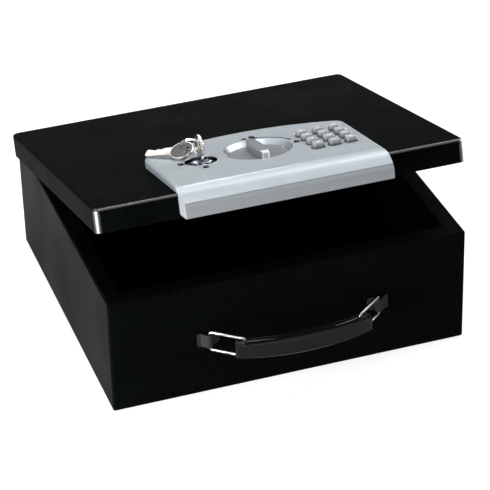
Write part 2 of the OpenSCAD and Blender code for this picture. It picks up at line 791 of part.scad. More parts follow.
// Scroll slot: its radius grows evenly with the angle, so the bolt moves evenly with the knob.
module scroll_slot() {
    steps = 18;
    angles = [for (i = [0 : steps]) 90 * i / steps];
    inner = [for (a = angles) (scroll_r(a) - slot_half(a)) * [cos(a - 90), sin(a - 90)]];
    outer = [for (i = [steps : -1 : 0]) let (a = angles[i]) (scroll_r(a) + slot_half(a)) * [cos(a - 90), sin(a - 90)]];
    polygon(concat(inner, outer));
    for (k = [0, 1])
        translate((scroll_start + k * bolt_travel) * [cos(90 * k - 90), sin(90 * k - 90)]) circle(cam_slot_w / 2, $fn = mid);
}

module scroll_cam() {
    color([0.72, 0.66, 0.4])
        at_knob() translate([0, 0, -cam_top - cam_t - knob_axis_drop]) difference() {
            cylinder(r = cam_r, h = cam_t, $fn = fine);
            translate([0, 0, -eps]) linear_extrude(cam_t + 2 * eps) {
                square(spindle_sq + 0.1, center = true);
                scroll_slot();
            }
        }
}

module spindle_clip() {
    color([0.4, 0.41, 0.43])
        at_knob() translate([0, 0, -cam_top - cam_t - knob_axis_drop - 1]) difference() {
            cylinder(r = spindle_sq / 2 + 2.2, h = 0.9, $fn = mid);
            translate([0, 0, -eps]) {
                cylinder(r = spindle_sq / 2 - 0.35, h = 1, $fn = mid);
                translate([-1.8, 0, 0]) cube([3.6, spindle_sq, 1]);
            }
        }
}

// Latch

module bolt_bar() {
    slot_r = spindle_sq * sqrt(2) / 2 + 0.36;
    slot_y = axis_y(-bolt_top);
    rest_y = axis_y(-cam_top - cam_t / 2) - scroll_start;
    color([0.74, 0.75, 0.77])
        in_lid() {
            translate([0, 0, -bolt_bottom]) difference() {
                linear_extrude(bolt_t) union() {
                    translate([-cross_half, cross_front]) square([2 * cross_half, cross_back - cross_front]);
                    translate([-stem_half, cross_front]) square([2 * stem_half, stem_back - cross_front]);
                    for (side = [-1, 1])
                        translate([side * tongue_x - tongue_w / 2, tongue_rest]) square([tongue_w, cross_back - tongue_rest]);
                }
                for (k = [0, 1])
                    translate([0, slot_y + k * bolt_travel, -eps]) cylinder(r = slot_r, h = bolt_t + 2 * eps, $fn = mid);
                translate([-slot_r, slot_y, -eps]) cube([2 * slot_r, bolt_travel, bolt_t + 2 * eps]);
                for (k = [0, 1])
                    translate([-stem_half - eps, plunger_y + k * bolt_travel - notch_w / 2, -eps])
                        cube([notch_depth, notch_w, bolt_t + 2 * eps]);
            }
            translate([0, rest_y, -cam_top - cam_t - 1.6]) cylinder(r = drive_pin_r, h = cam_top + cam_t + 1.6 - bolt_bottom + eps, $fn = mid);
        }
}

// The bridge that carries the bolt's stem under the lid.
module bolt_guide() {
    inner = stem_half + guide_gap;
    low = bolt_bottom + guide_gap + guide_t;
    color([0.66, 0.67, 0.69])
        in_lid() translate([0, guide_y, 0]) {
            for (side = [-1, 1]) {
                translate([side > 0 ? inner : -inner - guide_t, 0, -low]) cube([guide_t, guide_w, low - sheet_t]);
                translate([side > 0 ? inner : -inner - 6, 0, -sheet_t - guide_t]) cube([6, guide_w, guide_t]);
            }
            translate([-inner - guide_t, 0, -low]) cube([2 * (inner + guide_t), guide_w, guide_t]);
        }
}

// Solenoid

module at_plunger() { in_lid() translate([0, plunger_y, -plunger_z]) children(); }

module solenoid_frame() {
    half = coil_r + 0.4;
    top = plunger_z - sheet_t;
    left = coil_right - coil_len - frame_t;
    color([0.62, 0.63, 0.64])
        at_plunger() difference() {
            union() {
                for (x = [left, coil_right])
                    translate([x, -half, -half - frame_t]) cube([frame_t, 2 * half, half + frame_t + top]);
                translate([left, -half, -half - frame_t]) cube([coil_len + 2 * frame_t, 2 * half, frame_t]);
            }
            translate([left - 1, 0, 0]) rotate([0, 90, 0])
                cylinder(r = plunger_r + 0.05, h = coil_len + 2 * frame_t + 2, $fn = mid);
        }
}

module solenoid_coil() {
    color([0.62, 0.32, 0.14])
        at_plunger() translate([coil_right - coil_len, 0, 0]) rotate([0, 90, 0]) difference() {
            union() {
                cylinder(r = coil_r - 0.8, h = coil_len, $fn = mid);
                cylinder(r = coil_r - 0.1, h = 1, $fn = mid);
                translate([0, 0, coil_len - 1]) cylinder(r = coil_r - 0.1, h = 1, $fn = mid);
            }
            translate([0, 0, -eps]) cylinder(r = plunger_r + 0.15, h = coil_len + 2 * eps, $fn = mid);
        }
}

module solenoid_plunger() {
    back = coil_right - coil_len - 2.5;
    color([0.78, 0.79, 0.8])
        at_plunger() translate([back, 0, 0]) rotate([0, 90, 0]) {
            cylinder(r = plunger_r, h = -plunger_tip - back, $fn = mid);
            translate([0, 0, coil_len + 2.5 + frame_t + 5.5]) cylinder(r = plunger_r + 1.2, h = 1, $fn = mid);
        }
}

// Key lock

module lock_barrel() {
    color([0.82, 0.83, 0.85])
        at_lock() difference() {
            union() {
                translate([0, 0, -recess_depth - bezel_t]) cylinder(r = lock_recess_r - 0.3, h = bezel_t, $fn = fine);
                translate([0, 0, -recess_depth])
                    difference() {
                        cylinder(r1 = lock_recess_r - 1, r2 = lock_recess_r - 2.2, h = 1.4, $fn = fine);
                        translate([0, 0, -eps]) cylinder(r1 = plug_r + 1.4, r2 = lock_recess_r - 3, h = 1.5, $fn = fine);
                    }
                translate([0, 0, barrel_bottom]) cylinder(r = barrel_r, h = barrel_len + eps, $fn = mid);
            }
            translate([0, 0, barrel_bottom - eps]) cylinder(r = plug_r + plug_gap, h = barrel_len + 4 * bezel_t, $fn = fine);
            for (side = [-1, 1])
                translate([side * (2 * barrel_r - 1), 0, -recess_depth - bezel_t - barrel_len / 2 - 1])
                    cube([2 * barrel_r, 2 * barrel_r, barrel_len], center = true);
        }
}

module lock_nut() {
    nut_r = barrel_r + 3.4;
    nut_t = 2.6;
    drop = panel_rise + lock_y * tan(panel_slope) + sheet_t + 0.4;
    color([0.6, 0.61, 0.62])
        at_lock() translate([0, 0, -drop - nut_t]) difference() {
            cylinder(r = nut_r, h = nut_t, $fn = 6);
            translate([0, 0, -eps]) cylinder(r = barrel_r + 0.05, h = nut_t + 2 * eps, $fn = mid);
        }
}

module lock_plug() {
    length = plug_face - barrel_bottom + 0.4;
    color([0.8, 0.81, 0.84])
        at_lock() difference() {
            union() {
                translate([0, 0, plug_face - length]) cylinder(r = plug_r, h = length, $fn = fine);
                translate([0, 0, plug_face - length - lock_cam_t]) cylinder(r = 3, h = lock_cam_t, $fn = mid);
            }
            translate([0, 0, plug_face - blade_len / 2])
                cube([key_t + 2 * keyway_gap, blade_w + 2 * keyway_gap, blade_len + 1.4], center = true);
            translate([0, 0, plug_face - length - lock_cam_t - eps]) cylinder(r = 1.05, h = 1.8, $fn = soft);
        }
}

module lock_cam() {
    length = plug_face - barrel_bottom + 0.4;
    reach = 22;
    color([0.7, 0.71, 0.72])
        at_lock() translate([0, 0, plug_face - length - lock_cam_t]) difference() {
            union() {
                cylinder(r = plug_r, h = lock_cam_t - 0.1, $fn = mid);
                translate([-4.5, 0, 0]) cube([9, reach - 4.5, lock_cam_t - 0.1]);
                translate([0, reach - 4.5, 0]) cylinder(r = 4.5, h = lock_cam_t - 0.1, $fn = mid);
            }
            translate([0, 0, -eps]) cylinder(r = 3.05, h = lock_cam_t + 2 * eps, $fn = mid);
        }
}

module lock_cam_screw() {
    length = plug_face - barrel_bottom + 0.4;
    color([0.6, 0.61, 0.63])
        at_lock() translate([0, 0, plug_face - length - lock_cam_t]) screw_up(1, 1.6, 4, 1.2);
}

// A key along -Z from its bow: bow, bow hole, neck, shoulder, blade with cuts and a milled groove.
// Its origin is the middle of the bow.
module door_key() {
    blade_top = plug_face - bow_up + 0.3;
    straight = blade_len - blade_w / 2;
    cuts = [2.8, 5.6, 8.4, 11.2];
    depths = [1.4, 0.7, 1.8, 1.1];
    difference() {
        union() {
            rotate([0, 90, 0]) cylinder(r = bow_r, h = key_t, center = true, $fn = fine);
            translate([-key_t / 2, -neck_w / 2, blade_top]) cube([key_t, neck_w, -blade_top - bow_r / 2]);
            translate([-key_t / 2, -blade_w / 2, blade_top - straight]) cube([key_t, blade_w, straight + eps]);
            translate([0, 0, blade_top - straight]) rotate([0, 90, 0])
                intersection() {
                    cylinder(r = blade_w / 2, h = key_t, center = true, $fn = mid);
                    translate([0, -blade_w, -key_t]) cube([2, 2 * blade_w, 2 * key_t]);
                }
        }
        translate([0, 0, bow_hole_up]) rotate([0, 90, 0]) cylinder(r = bow_hole_r, h = 2 * key_t, center = true, $fn = mid);
        for (i = [0 : len(cuts) - 1])
            translate([0, blade_w / 2, blade_top - cuts[i]])
                rotate([45, 0, 0]) cube([2 * key_t, 1.6 * depths[i], 1.6 * depths[i]], center = true);
        translate([key_t / 2, -1, blade_top - blade_len / 2]) cube([0.9, 1.5, blade_len + 2], center = true);
    }
}

module key_in_lock() {
    color([0.85, 0.84, 0.8])
        at_lock() translate([0, 0, bow_up]) door_key();
}

// Turns +Z to direction n, and +X to direction u in the plane across it.
module aim(u, n) {
    a = u / norm(u);
    w0 = cross(n, a);
    b = w0 / norm(w0);
    c = cross(a, b);
    multmatrix([[a[0], b[0], c[0], 0], [a[1], b[1], c[1], 0], [a[2], b[2], c[2], 0], [0, 0, 0, 1]]) children();
}

module key_ring() {
    color([0.86, 0.86, 0.87])
        in_panel() translate(ring_mid) aim(ring_down, cross(ring_down, ring_side))
            for (turn = [-1, 1])
                rotate_extrude($fn = fine) translate([ring_r, turn * 0.96 * ring_wire_r]) circle(ring_wire_r, $fn = soft);
}

// The spare key hangs on the ring by its bow hole and leans on the panel with its tip.
module spare_key() {
    color([0.82, 0.81, 0.77])
        in_panel() translate(spare_hole) aim(cross(spare_dir, spare_across), -spare_dir)
            translate([0, 0, -bow_hole_up]) door_key();
}

// Box under the lid

module lid_box() {
    depth = cover_back - cover_front;
    height = cover_h - sheet_t;
    door_w = tray_w - 2 * door_margin;
    door_d = tray_d - 2 * door_margin;
    color([0.09, 0.09, 0.1])
        in_lid() difference() {
            union() {
                translate([0, cover_front + depth / 2, -cover_h - cover_wall]) difference() {
                    rounded_plate(cover_w, depth, height + cover_wall, 4);
                    translate([0, 0, cover_wall])
                        rounded_plate(cover_w - 2 * cover_wall, depth - 2 * cover_wall, height + cover_wall, 4 - cover_wall);
                }
                for (p = cover_spots())
                    translate([p[0], p[1], -cover_h - eps]) cylinder(r = 3.4, h = height, $fn = mid);
            }
            for (p = cover_spots())
                translate([p[0], p[1], -cover_h - 2 * cover_wall]) cylinder(r = 1.6, h = height + 2 * cover_wall, $fn = mid);
            for (side = [-1, 1])
                translate([side * tongue_x - tongue_w / 2 - guide_gap, cover_front - 1, -bolt_bottom - guide_gap])
                    cube([tongue_w + 2 * guide_gap, cover_wall + 2, bolt_t + 2 * guide_gap]);
            translate([tray_left + tray_w / 2, tray_y + tray_d / 2, -cover_h - 2 * cover_wall])
                rounded_plate(door_w, door_d, 4 * cover_wall, 2);
        }
}

module lid_box_screws() {
    color([0.3, 0.3, 0.31])
        in_lid() for (p = cover_spots())
            translate([p[0], p[1], -cover_h - cover_wall]) screw_up(1.55, cover_h + cover_wall - sheet_t, 3, 1.4);
}

module battery_tray() {
    color([0.13, 0.13, 0.14])
        in_lid() translate([tray_left, tray_y, -tray_bottom]) difference() {
            cube([tray_w, tray_d, tray_bottom - tray_top]);
            translate([tray_wall, tray_wall, -1]) cube([tray_w - 2 * tray_wall, tray_d - 2 * tray_wall, tray_bottom - tray_top - tray_wall + 1]);
        }
}

module batteries() {
    color([0.75, 0.6, 0.25])
        in_lid() for (i = [0 : cells - 1]) {
            flip = i % 2;
            translate([tray_left + tray_wall + (i + 0.5) * cell_pitch, tray_y + tray_d / 2, -cell_z]) rotate([flip * 180, 0, 0])
                translate([0, -cell_len / 2, 0]) rotate([-90, 0, 0]) {
                    cylinder(r = cell_d / 2 - 0.05, h = cell_len, $fn = mid);
                    translate([0, 0, cell_len - eps]) cylinder(r = 2.7, h = 1.4, $fn = mid);
                }
        }
}

module battery_door() {
    door_w = tray_w - 2 * door_margin - 2 * door_gap;
    door_d = tray_d - 2 * door_margin - 2 * door_gap;
    color([0.1, 0.1, 0.11])
        in_lid() translate([tray_left + tray_w / 2, tray_y + tray_d / 2, -cover_h - cover_wall]) difference() {
            rounded_plate(door_w, door_d, cover_wall + 2, 2 - door_gap);
            translate([0, 0, cover_wall]) rounded_plate(door_w - 2.4, door_d - 2.4, 4, 1);
            translate([0, -door_d / 2 + thumb_d, -eps]) rounded_plate(thumb_w, thumb_d, 0.7, thumb_d / 2 - 0.1);
        }
}

// Handle

function pivot(side) = [handle_x + side * pivot_half, face_y - pivot_out, handle_z];

// A strap bent round the bail's leg, welded to the front wall by its two feet.
// From the inner foot it rises straight, turns over the leg and slants down to the outer foot.
module handle_bracket(side) {
    outer = bracket_r + bracket_t;
    slant = outer * sqrt(2) + pivot_out - bracket_t;
    left = -slant - bracket_t - foot_out;
    right = outer + foot_in;
    turn = [for (i = [0 : 18]) -7.5 * i];
    over = [for (a = turn) outer * [cos(a), sin(a)]];
    under = [for (i = [18 : -1 : 0]) bracket_r * [cos(turn[i]), sin(turn[i])]];
    color([0.1, 0.1, 0.105])
        translate(pivot(side)) mirror([side > 0 ? 1 : 0, 0, 0]) intersection() {
            linear_extrude(bracket_h, center = true)
                polygon(concat(
                    [[right, pivot_out], [right, pivot_out - bracket_t], [outer, pivot_out - bracket_t]],
                    over,
                    [[-slant, pivot_out - bracket_t], [left, pivot_out - bracket_t], [left, pivot_out],
                     [-bracket_r * sqrt(2) - pivot_out, pivot_out]],
                    under,
                    [[bracket_r, pivot_out]]
                ));
            translate([(left - foot_r + right) / 2, pivot_out + 1, 0]) rotate([90, 0, 0])
                rounded_plate(right - left + foot_r, bracket_h, pivot_out + outer + 2, foot_r);
        }
}

// A closed wire rectangle with rounded corners. Its outer leg is on the Z axis, and it reaches along +X.
module wire_bail() {
    straight_h = 2 * (bail_half_h - bend_r);
    straight_w = bail_len - 2 * bend_r;
    for (x = [0, bail_len])
        translate([x, 0, 0]) cylinder(r = bail_wire_r, h = straight_h, center = true, $fn = mid);
    for (z = [-1, 1])
        translate([bend_r, 0, z * bail_half_h]) rotate([0, 90, 0]) cylinder(r = bail_wire_r, h = straight_w, $fn = mid);
    for (x = [0, 1], z = [0, 1])
        translate([x * bail_len, 0, 0]) mirror([x, 0, 0]) mirror([0, 0, z])
            translate([bend_r, 0, bail_half_h - bend_r]) rotate([90, 0, 0]) rotate([0, 0, 90])
                rotate_extrude(angle = 90, $fn = fine) translate([bend_r, 0]) circle(bail_wire_r, $fn = mid);
}

module handle_bail(side) {
    color([0.8, 0.81, 0.82])
        translate(pivot(side)) mirror([side > 0 ? 1 : 0, 0, 0]) rotate([0, 0, -bail_angle]) wire_bail();
}

// The grip's frame: x from its middle, y along the bow's radius, z from the handle's height.
module at_bow() { translate([handle_x, face_y - bow_centre, handle_z]) children(); }

// A band bent along the bow between two radii, as high as h.
module bow_band(r0, r1, h, half_len) {
    intersection() {
        difference() {
            cylinder(r = r1, h = h, center = true, $fn = 360);
            cylinder(r = r0, h = h + 1, center = true, $fn = 360);
        }
        translate([-half_len, -2 * grip_bow_r, -h]) cube([2 * half_len, 2 * grip_bow_r, 2 * h]);
    }
}

// Slots that follow the bow, with round ends.
module bow_slots(width, h) {
    for (side = [-1, 1]) {
        intersection() {
            bow_band(slot_radius - width / 2, slot_radius + width / 2, h, slot_outer);
            translate([side > 0 ? slot_inner : -slot_outer, -2 * grip_bow_r, -h]) cube([slot_outer - slot_inner, 2 * grip_bow_r, 2 * h]);
        }
        for (u = [slot_inner, slot_outer])
            translate([side * u, -sqrt(slot_radius * slot_radius - u * u), 0]) cylinder(r = width / 2, h = h, center = true, $fn = soft);
    }
}

// Front view of the grip: its upper and lower edges bow in towards the ends.
module grip_front() {
    half = grip_len / 2;
    n = 18;
    function edge(x) = (grip_h - (grip_h - grip_end_h) * pow(x / half, 2)) / 2;
    xs = [for (i = [0 : n]) -half - 3 + 2 * (half + 3) * i / n];
    polygon(concat([for (x = xs) [x, edge(x)]], [for (i = [n : -1 : 0]) [xs[i], -edge(xs[i])]]));
}

// Plan of the grip's ends: radial, with rounded corners. Between them it is wider than the grip.
module grip_ends() {
    r0 = grip_bow_r - grip_t / 2 + grip_corner_r;
    r1 = grip_bow_r + grip_t / 2 - grip_corner_r;
    end_a = asin(grip_len / 2 / grip_bow_r);
    a0 = end_a - asin(grip_corner_r / r0);
    a1 = end_a - asin(grip_corner_r / r1);
    function at(r, a) = r * [sin(a), -cos(a)];
    right = concat(
        [at(r0 - 2 * grip_t, a0)],
        [for (i = [0 : 6]) at(r0, a0) + at(grip_corner_r, a0 + 180 - 15 * i)],
        [for (i = [0 : 6]) at(r1, a1) + at(grip_corner_r, a1 + 90 - 15 * i)],
        [at((r1 + grip_t) / cos(a1), a1)]
    );
    polygon(concat(right, [for (i = [len(right) - 1 : -1 : 0]) [-right[i][0], right[i][1]]]));
}

// Cross-section of the grip, x along the radius: a flat bar with broken edges.
module grip_section() {
    bevel = 1.5;
    hh = grip_h / 2;
    t = grip_t / 2;
    polygon([[-t + bevel, -hh], [t - bevel, -hh], [t, -hh + bevel], [t, hh - bevel],
             [t - bevel, hh], [-t + bevel, hh], [-t, hh - bevel], [-t, -hh + bevel]]);
}

module grip() {
    color([0.12, 0.12, 0.125])
        at_bow() difference() {
            intersection() {
                rotate_extrude($fn = 360) translate([grip_bow_r, 0]) grip_section();
                rotate([90, 0, 0]) linear_extrude(2 * grip_bow_r) grip_front();
                linear_extrude(2 * grip_h, center = true) grip_ends();
            }
            bow_slots(slot_w, 2 * grip_h);
            strap_blank();
            for (side = [-1, 1], z = [-2.4, 2.4])
                translate([side * (grip_len / 2 - 3.4), -grip_bow_r, z]) rotate([90, 0, 0]) cylinder(r = 0.55, h = grip_t, $fn = soft);
        }
}

module strap_blank() {
    translate([0, 0, strap_z])
        bow_band(slot_radius - strap_w / 2, slot_radius + strap_w / 2, strap_t, strap_end);
}

module grip_strap() {
    color([0.75, 0.76, 0.78])
        at_bow() difference() {
            strap_blank();
            bow_slots(slot_w - 0.3, 2 * grip_h);
        }
}

body_shell();
hinge_body_leaf();
hinge_pin();
hinge_body_rivets();
handle_bracket(-1);  // handle_bracket_left
handle_bracket(1);  // handle_bracket_right
handle_bail(-1);  // bail_left
handle_bail(1);  // bail_right
grip();
grip_strap();
lid_shell();
hinge_lid_leaf();
hinge_lid_rivets();
panel_housing();
panel_screws();
keypad_board();
keypad_mat();
lid_box();
lid_box_screws();
battery_tray();
batteries();
battery_door();
bolt_guide();
bolt_bar();
knob();
spindle();
scroll_cam();
spindle_clip();
solenoid_frame();
solenoid_coil();
solenoid_plunger();
lock_barrel();
lock_nut();
lock_plug();
lock_cam();
lock_cam_screw();
key_in_lock();
key_ring();
spare_key();
key_cap(0);  // key_1
key_cap(1);  // key_2
key_cap(2);  // key_3
key_cap(3);  // key_4
key_cap(4);  // key_5
key_cap(5);  // key_6
key_cap(6);  // key_7
key_cap(7);  // key_8
key_cap(8);  // key_9
key_cap(9);  // key_left
key_cap(10);  // key_0
key_cap(11);  // key_right
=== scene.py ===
# %% [markdown]
# # A shallow electronic safe, standing open
# The box is pressed and folded from steel sheet and painted black. Its lid is a pan that drops over
# the body, and it carries a moulded silver control panel with a keypad, a turning knob and a key lock.
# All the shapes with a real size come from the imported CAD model, the frame. This script gives each of
# them its finish, adds what is printed or too fine for CAD, and sets up camera, light and floor.

# %% Load the frame
import bpy, bmesh, math
from mathutils import Matrix, Vector
from mathutils.bvhtree import BVHTree


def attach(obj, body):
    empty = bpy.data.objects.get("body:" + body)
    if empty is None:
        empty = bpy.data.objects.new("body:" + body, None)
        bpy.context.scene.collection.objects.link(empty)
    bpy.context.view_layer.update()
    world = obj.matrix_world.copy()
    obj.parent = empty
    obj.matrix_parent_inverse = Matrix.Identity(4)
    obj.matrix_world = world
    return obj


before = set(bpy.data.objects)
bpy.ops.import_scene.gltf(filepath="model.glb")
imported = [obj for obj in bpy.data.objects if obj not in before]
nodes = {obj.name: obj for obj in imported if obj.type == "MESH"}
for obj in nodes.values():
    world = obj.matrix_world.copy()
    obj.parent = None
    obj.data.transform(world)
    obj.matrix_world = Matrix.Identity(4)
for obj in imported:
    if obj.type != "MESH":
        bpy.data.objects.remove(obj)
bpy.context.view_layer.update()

# %% [markdown]
# ## Where things are
# The lid stands open, so its panel slopes. It is much easier to place printed marks in the panel's
# own flat frame: x across, y back from the lid's front edge, z up out of the panel. One 4x4 matrix
# takes such a point, in millimetres, to its place in the room. It repeats the few sizes from the CAD.

# %% The lid's and the panel's frames
MM = 0.001
OPEN_ANGLE = math.radians(15.6)
PANEL_SLOPE = math.radians(1.5)
PANEL_RISE = 5.5
HINGE = Vector((0, 143.15, 84.45)) * MM
LID_FRONT_EDGE = Vector((0, -143.34, 106.0)) * MM

lid_frame = (Matrix.Translation(HINGE) @ Matrix.Rotation(-OPEN_ANGLE, 4, "X")
             @ Matrix.Translation(LID_FRONT_EDGE - HINGE))
panel_frame = (lid_frame @ Matrix.Translation((0, 0, PANEL_RISE * MM))
               @ Matrix.Rotation(PANEL_SLOPE, 4, "X"))
panel_up = (panel_frame.to_3x3() @ Vector((0, 0, 1))).normalized()


def on_panel(x, y, z=0.0):
    """A point of the panel's frame, in millimetres, as a place in the room, in metres."""
    return panel_frame @ (Vector((x, y, z)) * MM)


print("panel faces", [round(c, 3) for c in panel_up])
print("knob axis at", [round(c, 4) for c in on_panel(0, 60)])

# %% [markdown]
# ## Camera
# The photograph was taken from the front left, well above the box, through a long lens: the box's
# parallel edges close in on each other only a little. A camera that tracks a target would hold the
# horizon level, but the photograph is tilted slightly. So yaw, pitch and roll were solved from the
# corners of the body and the lid, and they give the camera's three axes directly.

# %% Camera
CAMERA_PLACE = (-0.5353, -1.6599, 1.1291)
LENS, SENSOR_WIDTH = 175.5, 36
yaw, pitch, roll = (math.radians(a) for a in (18.15, 31.94, -1.61))
forward = Vector((math.sin(yaw) * math.cos(pitch), math.cos(yaw) * math.cos(pitch), -math.sin(pitch)))
level_right = Vector((math.cos(yaw), -math.sin(yaw), 0))
level_up = level_right.cross(forward)
right = math.cos(roll) * level_right + math.sin(roll) * level_up
up = -math.sin(roll) * level_right + math.cos(roll) * level_up

camera_data = bpy.data.cameras.new("camera")
camera_data.lens = LENS
camera_data.sensor_width = SENSOR_WIDTH
camera = bpy.data.objects.new("camera", camera_data)
camera_turn = Matrix((right, up, -forward)).transposed().to_4x4()
camera.matrix_world = Matrix.Translation(CAMERA_PLACE) @ camera_turn
bpy.context.scene.collection.objects.link(camera)
bpy.context.scene.camera = camera
print("camera looks along", [round(c, 3) for c in forward], "lens", camera_data.lens)

# %% [markdown]
# ## Floor and light
# The box stands in a white studio. A lit white floor would still render light grey, and turning up
# the lamps until it clips would wash out the box. So the floor has a plain diffuse surface that
# catches the shadow, and a glow that the camera and glass see in full and mirrors see by half, and
# that lights nothing. Together they pass white in the open and fall below it only in the shadow.

# %% Floor
WHITE = (1, 1, 1, 1)
FLOOR_HALF = 1.6
FLOOR_DROP = 0.0002
FLOOR_GREY = 0.42
FLOOR_GLOW = 0.76
FLOOR_IN_MIRRORS = 0.5
floor_mesh = bpy.data.meshes.new("floor")
floor_mesh.from_pydata([(-FLOOR_HALF, -FLOOR_HALF, 0), (FLOOR_HALF, -FLOOR_HALF, 0),
                        (FLOOR_HALF, FLOOR_HALF, 0), (-FLOOR_HALF, FLOOR_HALF, 0)], [], [(0, 1, 2, 3)])
floor = bpy.data.objects.new("floor", floor_mesh)
floor.location.z = -FLOOR_DROP
bpy.context.scene.collection.objects.link(floor)


def combine(tree, operation, first, second):
    """A Math node on two sockets, or on a socket and a number."""
    node = tree.nodes.new("ShaderNodeMath")
    node.operation = operation
    tree.links.new(first, node.inputs[0])
    if isinstance(second, float):
        node.inputs[1].default_value = second
    else:
        tree.links.new(second, node.inputs[1])
    return node.outputs[0]


def seen_directly(tree, glossy_share):
    """1 for camera and transmission rays, glossy_share for glossy ones, 0 for the light that bounces."""
    ray = tree.nodes.new("ShaderNodeLightPath")
    in_mirrors = combine(tree, "MULTIPLY", ray.outputs["Is Glossy Ray"], glossy_share)
    either = combine(tree, "MAXIMUM", ray.outputs["Is Camera Ray"], in_mirrors)
    return combine(tree, "MAXIMUM", either, ray.outputs["Is Transmission Ray"])


floor_paint = bpy.data.materials.new("floor_white")
floor_paint.use_nodes = True
tree = floor_paint.node_tree
floor_shader = tree.nodes["Principled BSDF"]
floor_shader.inputs["Base Color"].default_value = (FLOOR_GREY, FLOOR_GREY, FLOOR_GREY, 1)
floor_shader.inputs["Roughness"].default_value = 0.9
floor_shader.inputs["Specular IOR Level"].default_value = 0.0
floor_shader.inputs["Emission Color"].default_value = WHITE
glow = combine(tree, "MULTIPLY", seen_directly(tree, FLOOR_IN_MIRRORS), FLOOR_GLOW)
tree.links.new(glow, floor_shader.inputs["Emission Strength"])
floor_mesh.materials.append(floor_paint)
print("floor", 2 * FLOOR_HALF, "m wide, glow", FLOOR_GLOW)

# %% [markdown]
# ## Surroundings
# Behind the floor the world is white to the camera. Black paint is judged by what it mirrors, and the
# photograph's lid is nearly black because the studio behind it was dim, while the sides pick up the
# bright floor. So reflections see a world that is bright overhead and dim near the horizon.

# %% World
SKY_LEVEL = 0.22
MIRRORED_SKY = ((0.0, 0.04), (0.3, 0.10), (0.75, 1.0))
SKY_IN_MIRRORS = 0.0
world = bpy.data.worlds.new("studio")
world.use_nodes = True
bpy.context.scene.world = world
tree = world.node_tree
sky = tree.nodes["Background"]
sky.inputs["Color"].default_value = WHITE
direction = tree.nodes.new("ShaderNodeTexCoord")
height = tree.nodes.new("ShaderNodeSeparateXYZ")
tree.links.new(direction.outputs["Generated"], height.inputs[0])
fade = tree.nodes.new("ShaderNodeValToRGB")
stops = fade.color_ramp.elements
for i, (position, level) in enumerate(MIRRORED_SKY):
    stop = stops[i] if i < 2 else stops.new(position)
    stop.position = position
    stop.color = (level, level, level, 1)
tree.links.new(height.outputs["Z"], fade.inputs["Fac"])
mirrored = tree.nodes.new("ShaderNodeMixRGB")
mirrored.inputs[1].default_value = (SKY_LEVEL, SKY_LEVEL, SKY_LEVEL, 1)
tree.links.new(fade.outputs["Color"], mirrored.inputs[2])
ray = tree.nodes.new("ShaderNodeLightPath")
tree.links.new(ray.outputs["Is Glossy Ray"], mirrored.inputs[0])
white = tree.nodes.new("ShaderNodeMixRGB")
white.inputs[2].default_value = WHITE
tree.links.new(mirrored.outputs[0], white.inputs[1])
tree.links.new(seen_directly(tree, SKY_IN_MIRRORS), white.inputs[0])
tree.links.new(white.outputs[0], sky.inputs["Strength"])
print("world: even light", SKY_LEVEL, "and a dim horizon in reflections")

# %% [markdown]
# ## Lamps
# Every lamp is a rectangle, as a studio softbox is. A point or a sun would be simpler, but bright metal
# mirrors the lamp's own shape, and only a wide one shades the curved panel softly. Big ones at the left,
# the right and overhead model the panel. Two low strips light its ends and draw the bright lines on the
# lid's corners. A narrow strip behind the box is mirrored in the crease where the panel bends down.


# %% Lamps
def soft_lamp(name, place, aim, width, height, watts):
    """A rectangular soft lamp at place that shines at aim."""
    data = bpy.data.lights.new(name, "AREA")
    data.shape = "RECTANGLE"
    data.size, data.size_y = width, height
    data.energy = watts
    lamp = bpy.data.objects.new(name, data)
    lamp.location = place
    lamp.rotation_euler = (Vector(aim) - Vector(place)).to_track_quat("-Z", "Y").to_euler()
    bpy.context.scene.collection.objects.link(lamp)


LAMPS = (
    ("left_softbox", (-1.35, -0.6, 0.65), (0, 0, 0.1), 0.45, 0.8, 14),
    ("low_left_strip", (-0.95, -0.42, 0.07), (-0.15, -0.15, 0.11), 0.5, 0.12, 14),
    ("low_right_strip", (1.15, 0.12, 0.07), (0.15, -0.12, 0.11), 0.5, 0.12, 10),
    ("overhead_softbox", (-0.1, -0.05, 1.7), (0, -0.02, 0.1), 0.9, 0.6, 6),
    ("right_softbox", (0.95, 0.25, 1.0), (0, 0, 0.1), 1.0, 0.8, 9),
    ("back_softbox", (0.36, 0.95, 1.5), (0, 0, 0.12), 1.1, 0.4, 5),
    ("crease_strip", (-0.05, 1.25, 0.80), (0, -0.13, 0.12), 1.0, 0.05, 5),
    ("front_fill", (0.2, -2.0, 0.55), (0, 0, 0.1), 1.4, 0.7, 1.5),
)
for lamp_row in LAMPS:
    soft_lamp(*lamp_row)
bpy.context.scene.view_settings.view_transform = "Standard"
print("lamps:", [row[0] for row in LAMPS])

# %% [markdown]
# ## Finishes
# Every finish is one Principled shader with its plain numbers on its own sockets. What varies over
# the surface comes from noise in the object's own coordinates, which are metres here, so a scale of
# 900 makes grains of about a millimetre. Grain goes to the bump, cloudiness to colour and gloss.
# A Bevel node compares the surface's normal with one rounded over a fraction of a millimetre: where
# they part there is an edge, so edges catch the light, and their colour can be made a little lighter,
# partly as rubbed paint is and partly as a painted highlight.


# %% Helpers for single shader nodes
def noise(tree, vector, scale, detail):
    """Noise over the surface, from 0 to 1."""
    node = tree.nodes.new("ShaderNodeTexNoise")
    node.inputs["Scale"].default_value = scale
    node.inputs["Detail"].default_value = detail
    tree.links.new(vector, node.inputs["Vector"])
    return node.outputs["Fac"]


def remap(tree, value, source, target=(0.0, 1.0)):
    """Stretches a value from one range to another, and holds it inside."""
    node = tree.nodes.new("ShaderNodeMapRange")
    node.inputs["From Min"].default_value, node.inputs["From Max"].default_value = source
    node.inputs["To Min"].default_value, node.inputs["To Max"].default_value = target
    tree.links.new(value, node.inputs["Value"])
    return node.outputs["Result"]


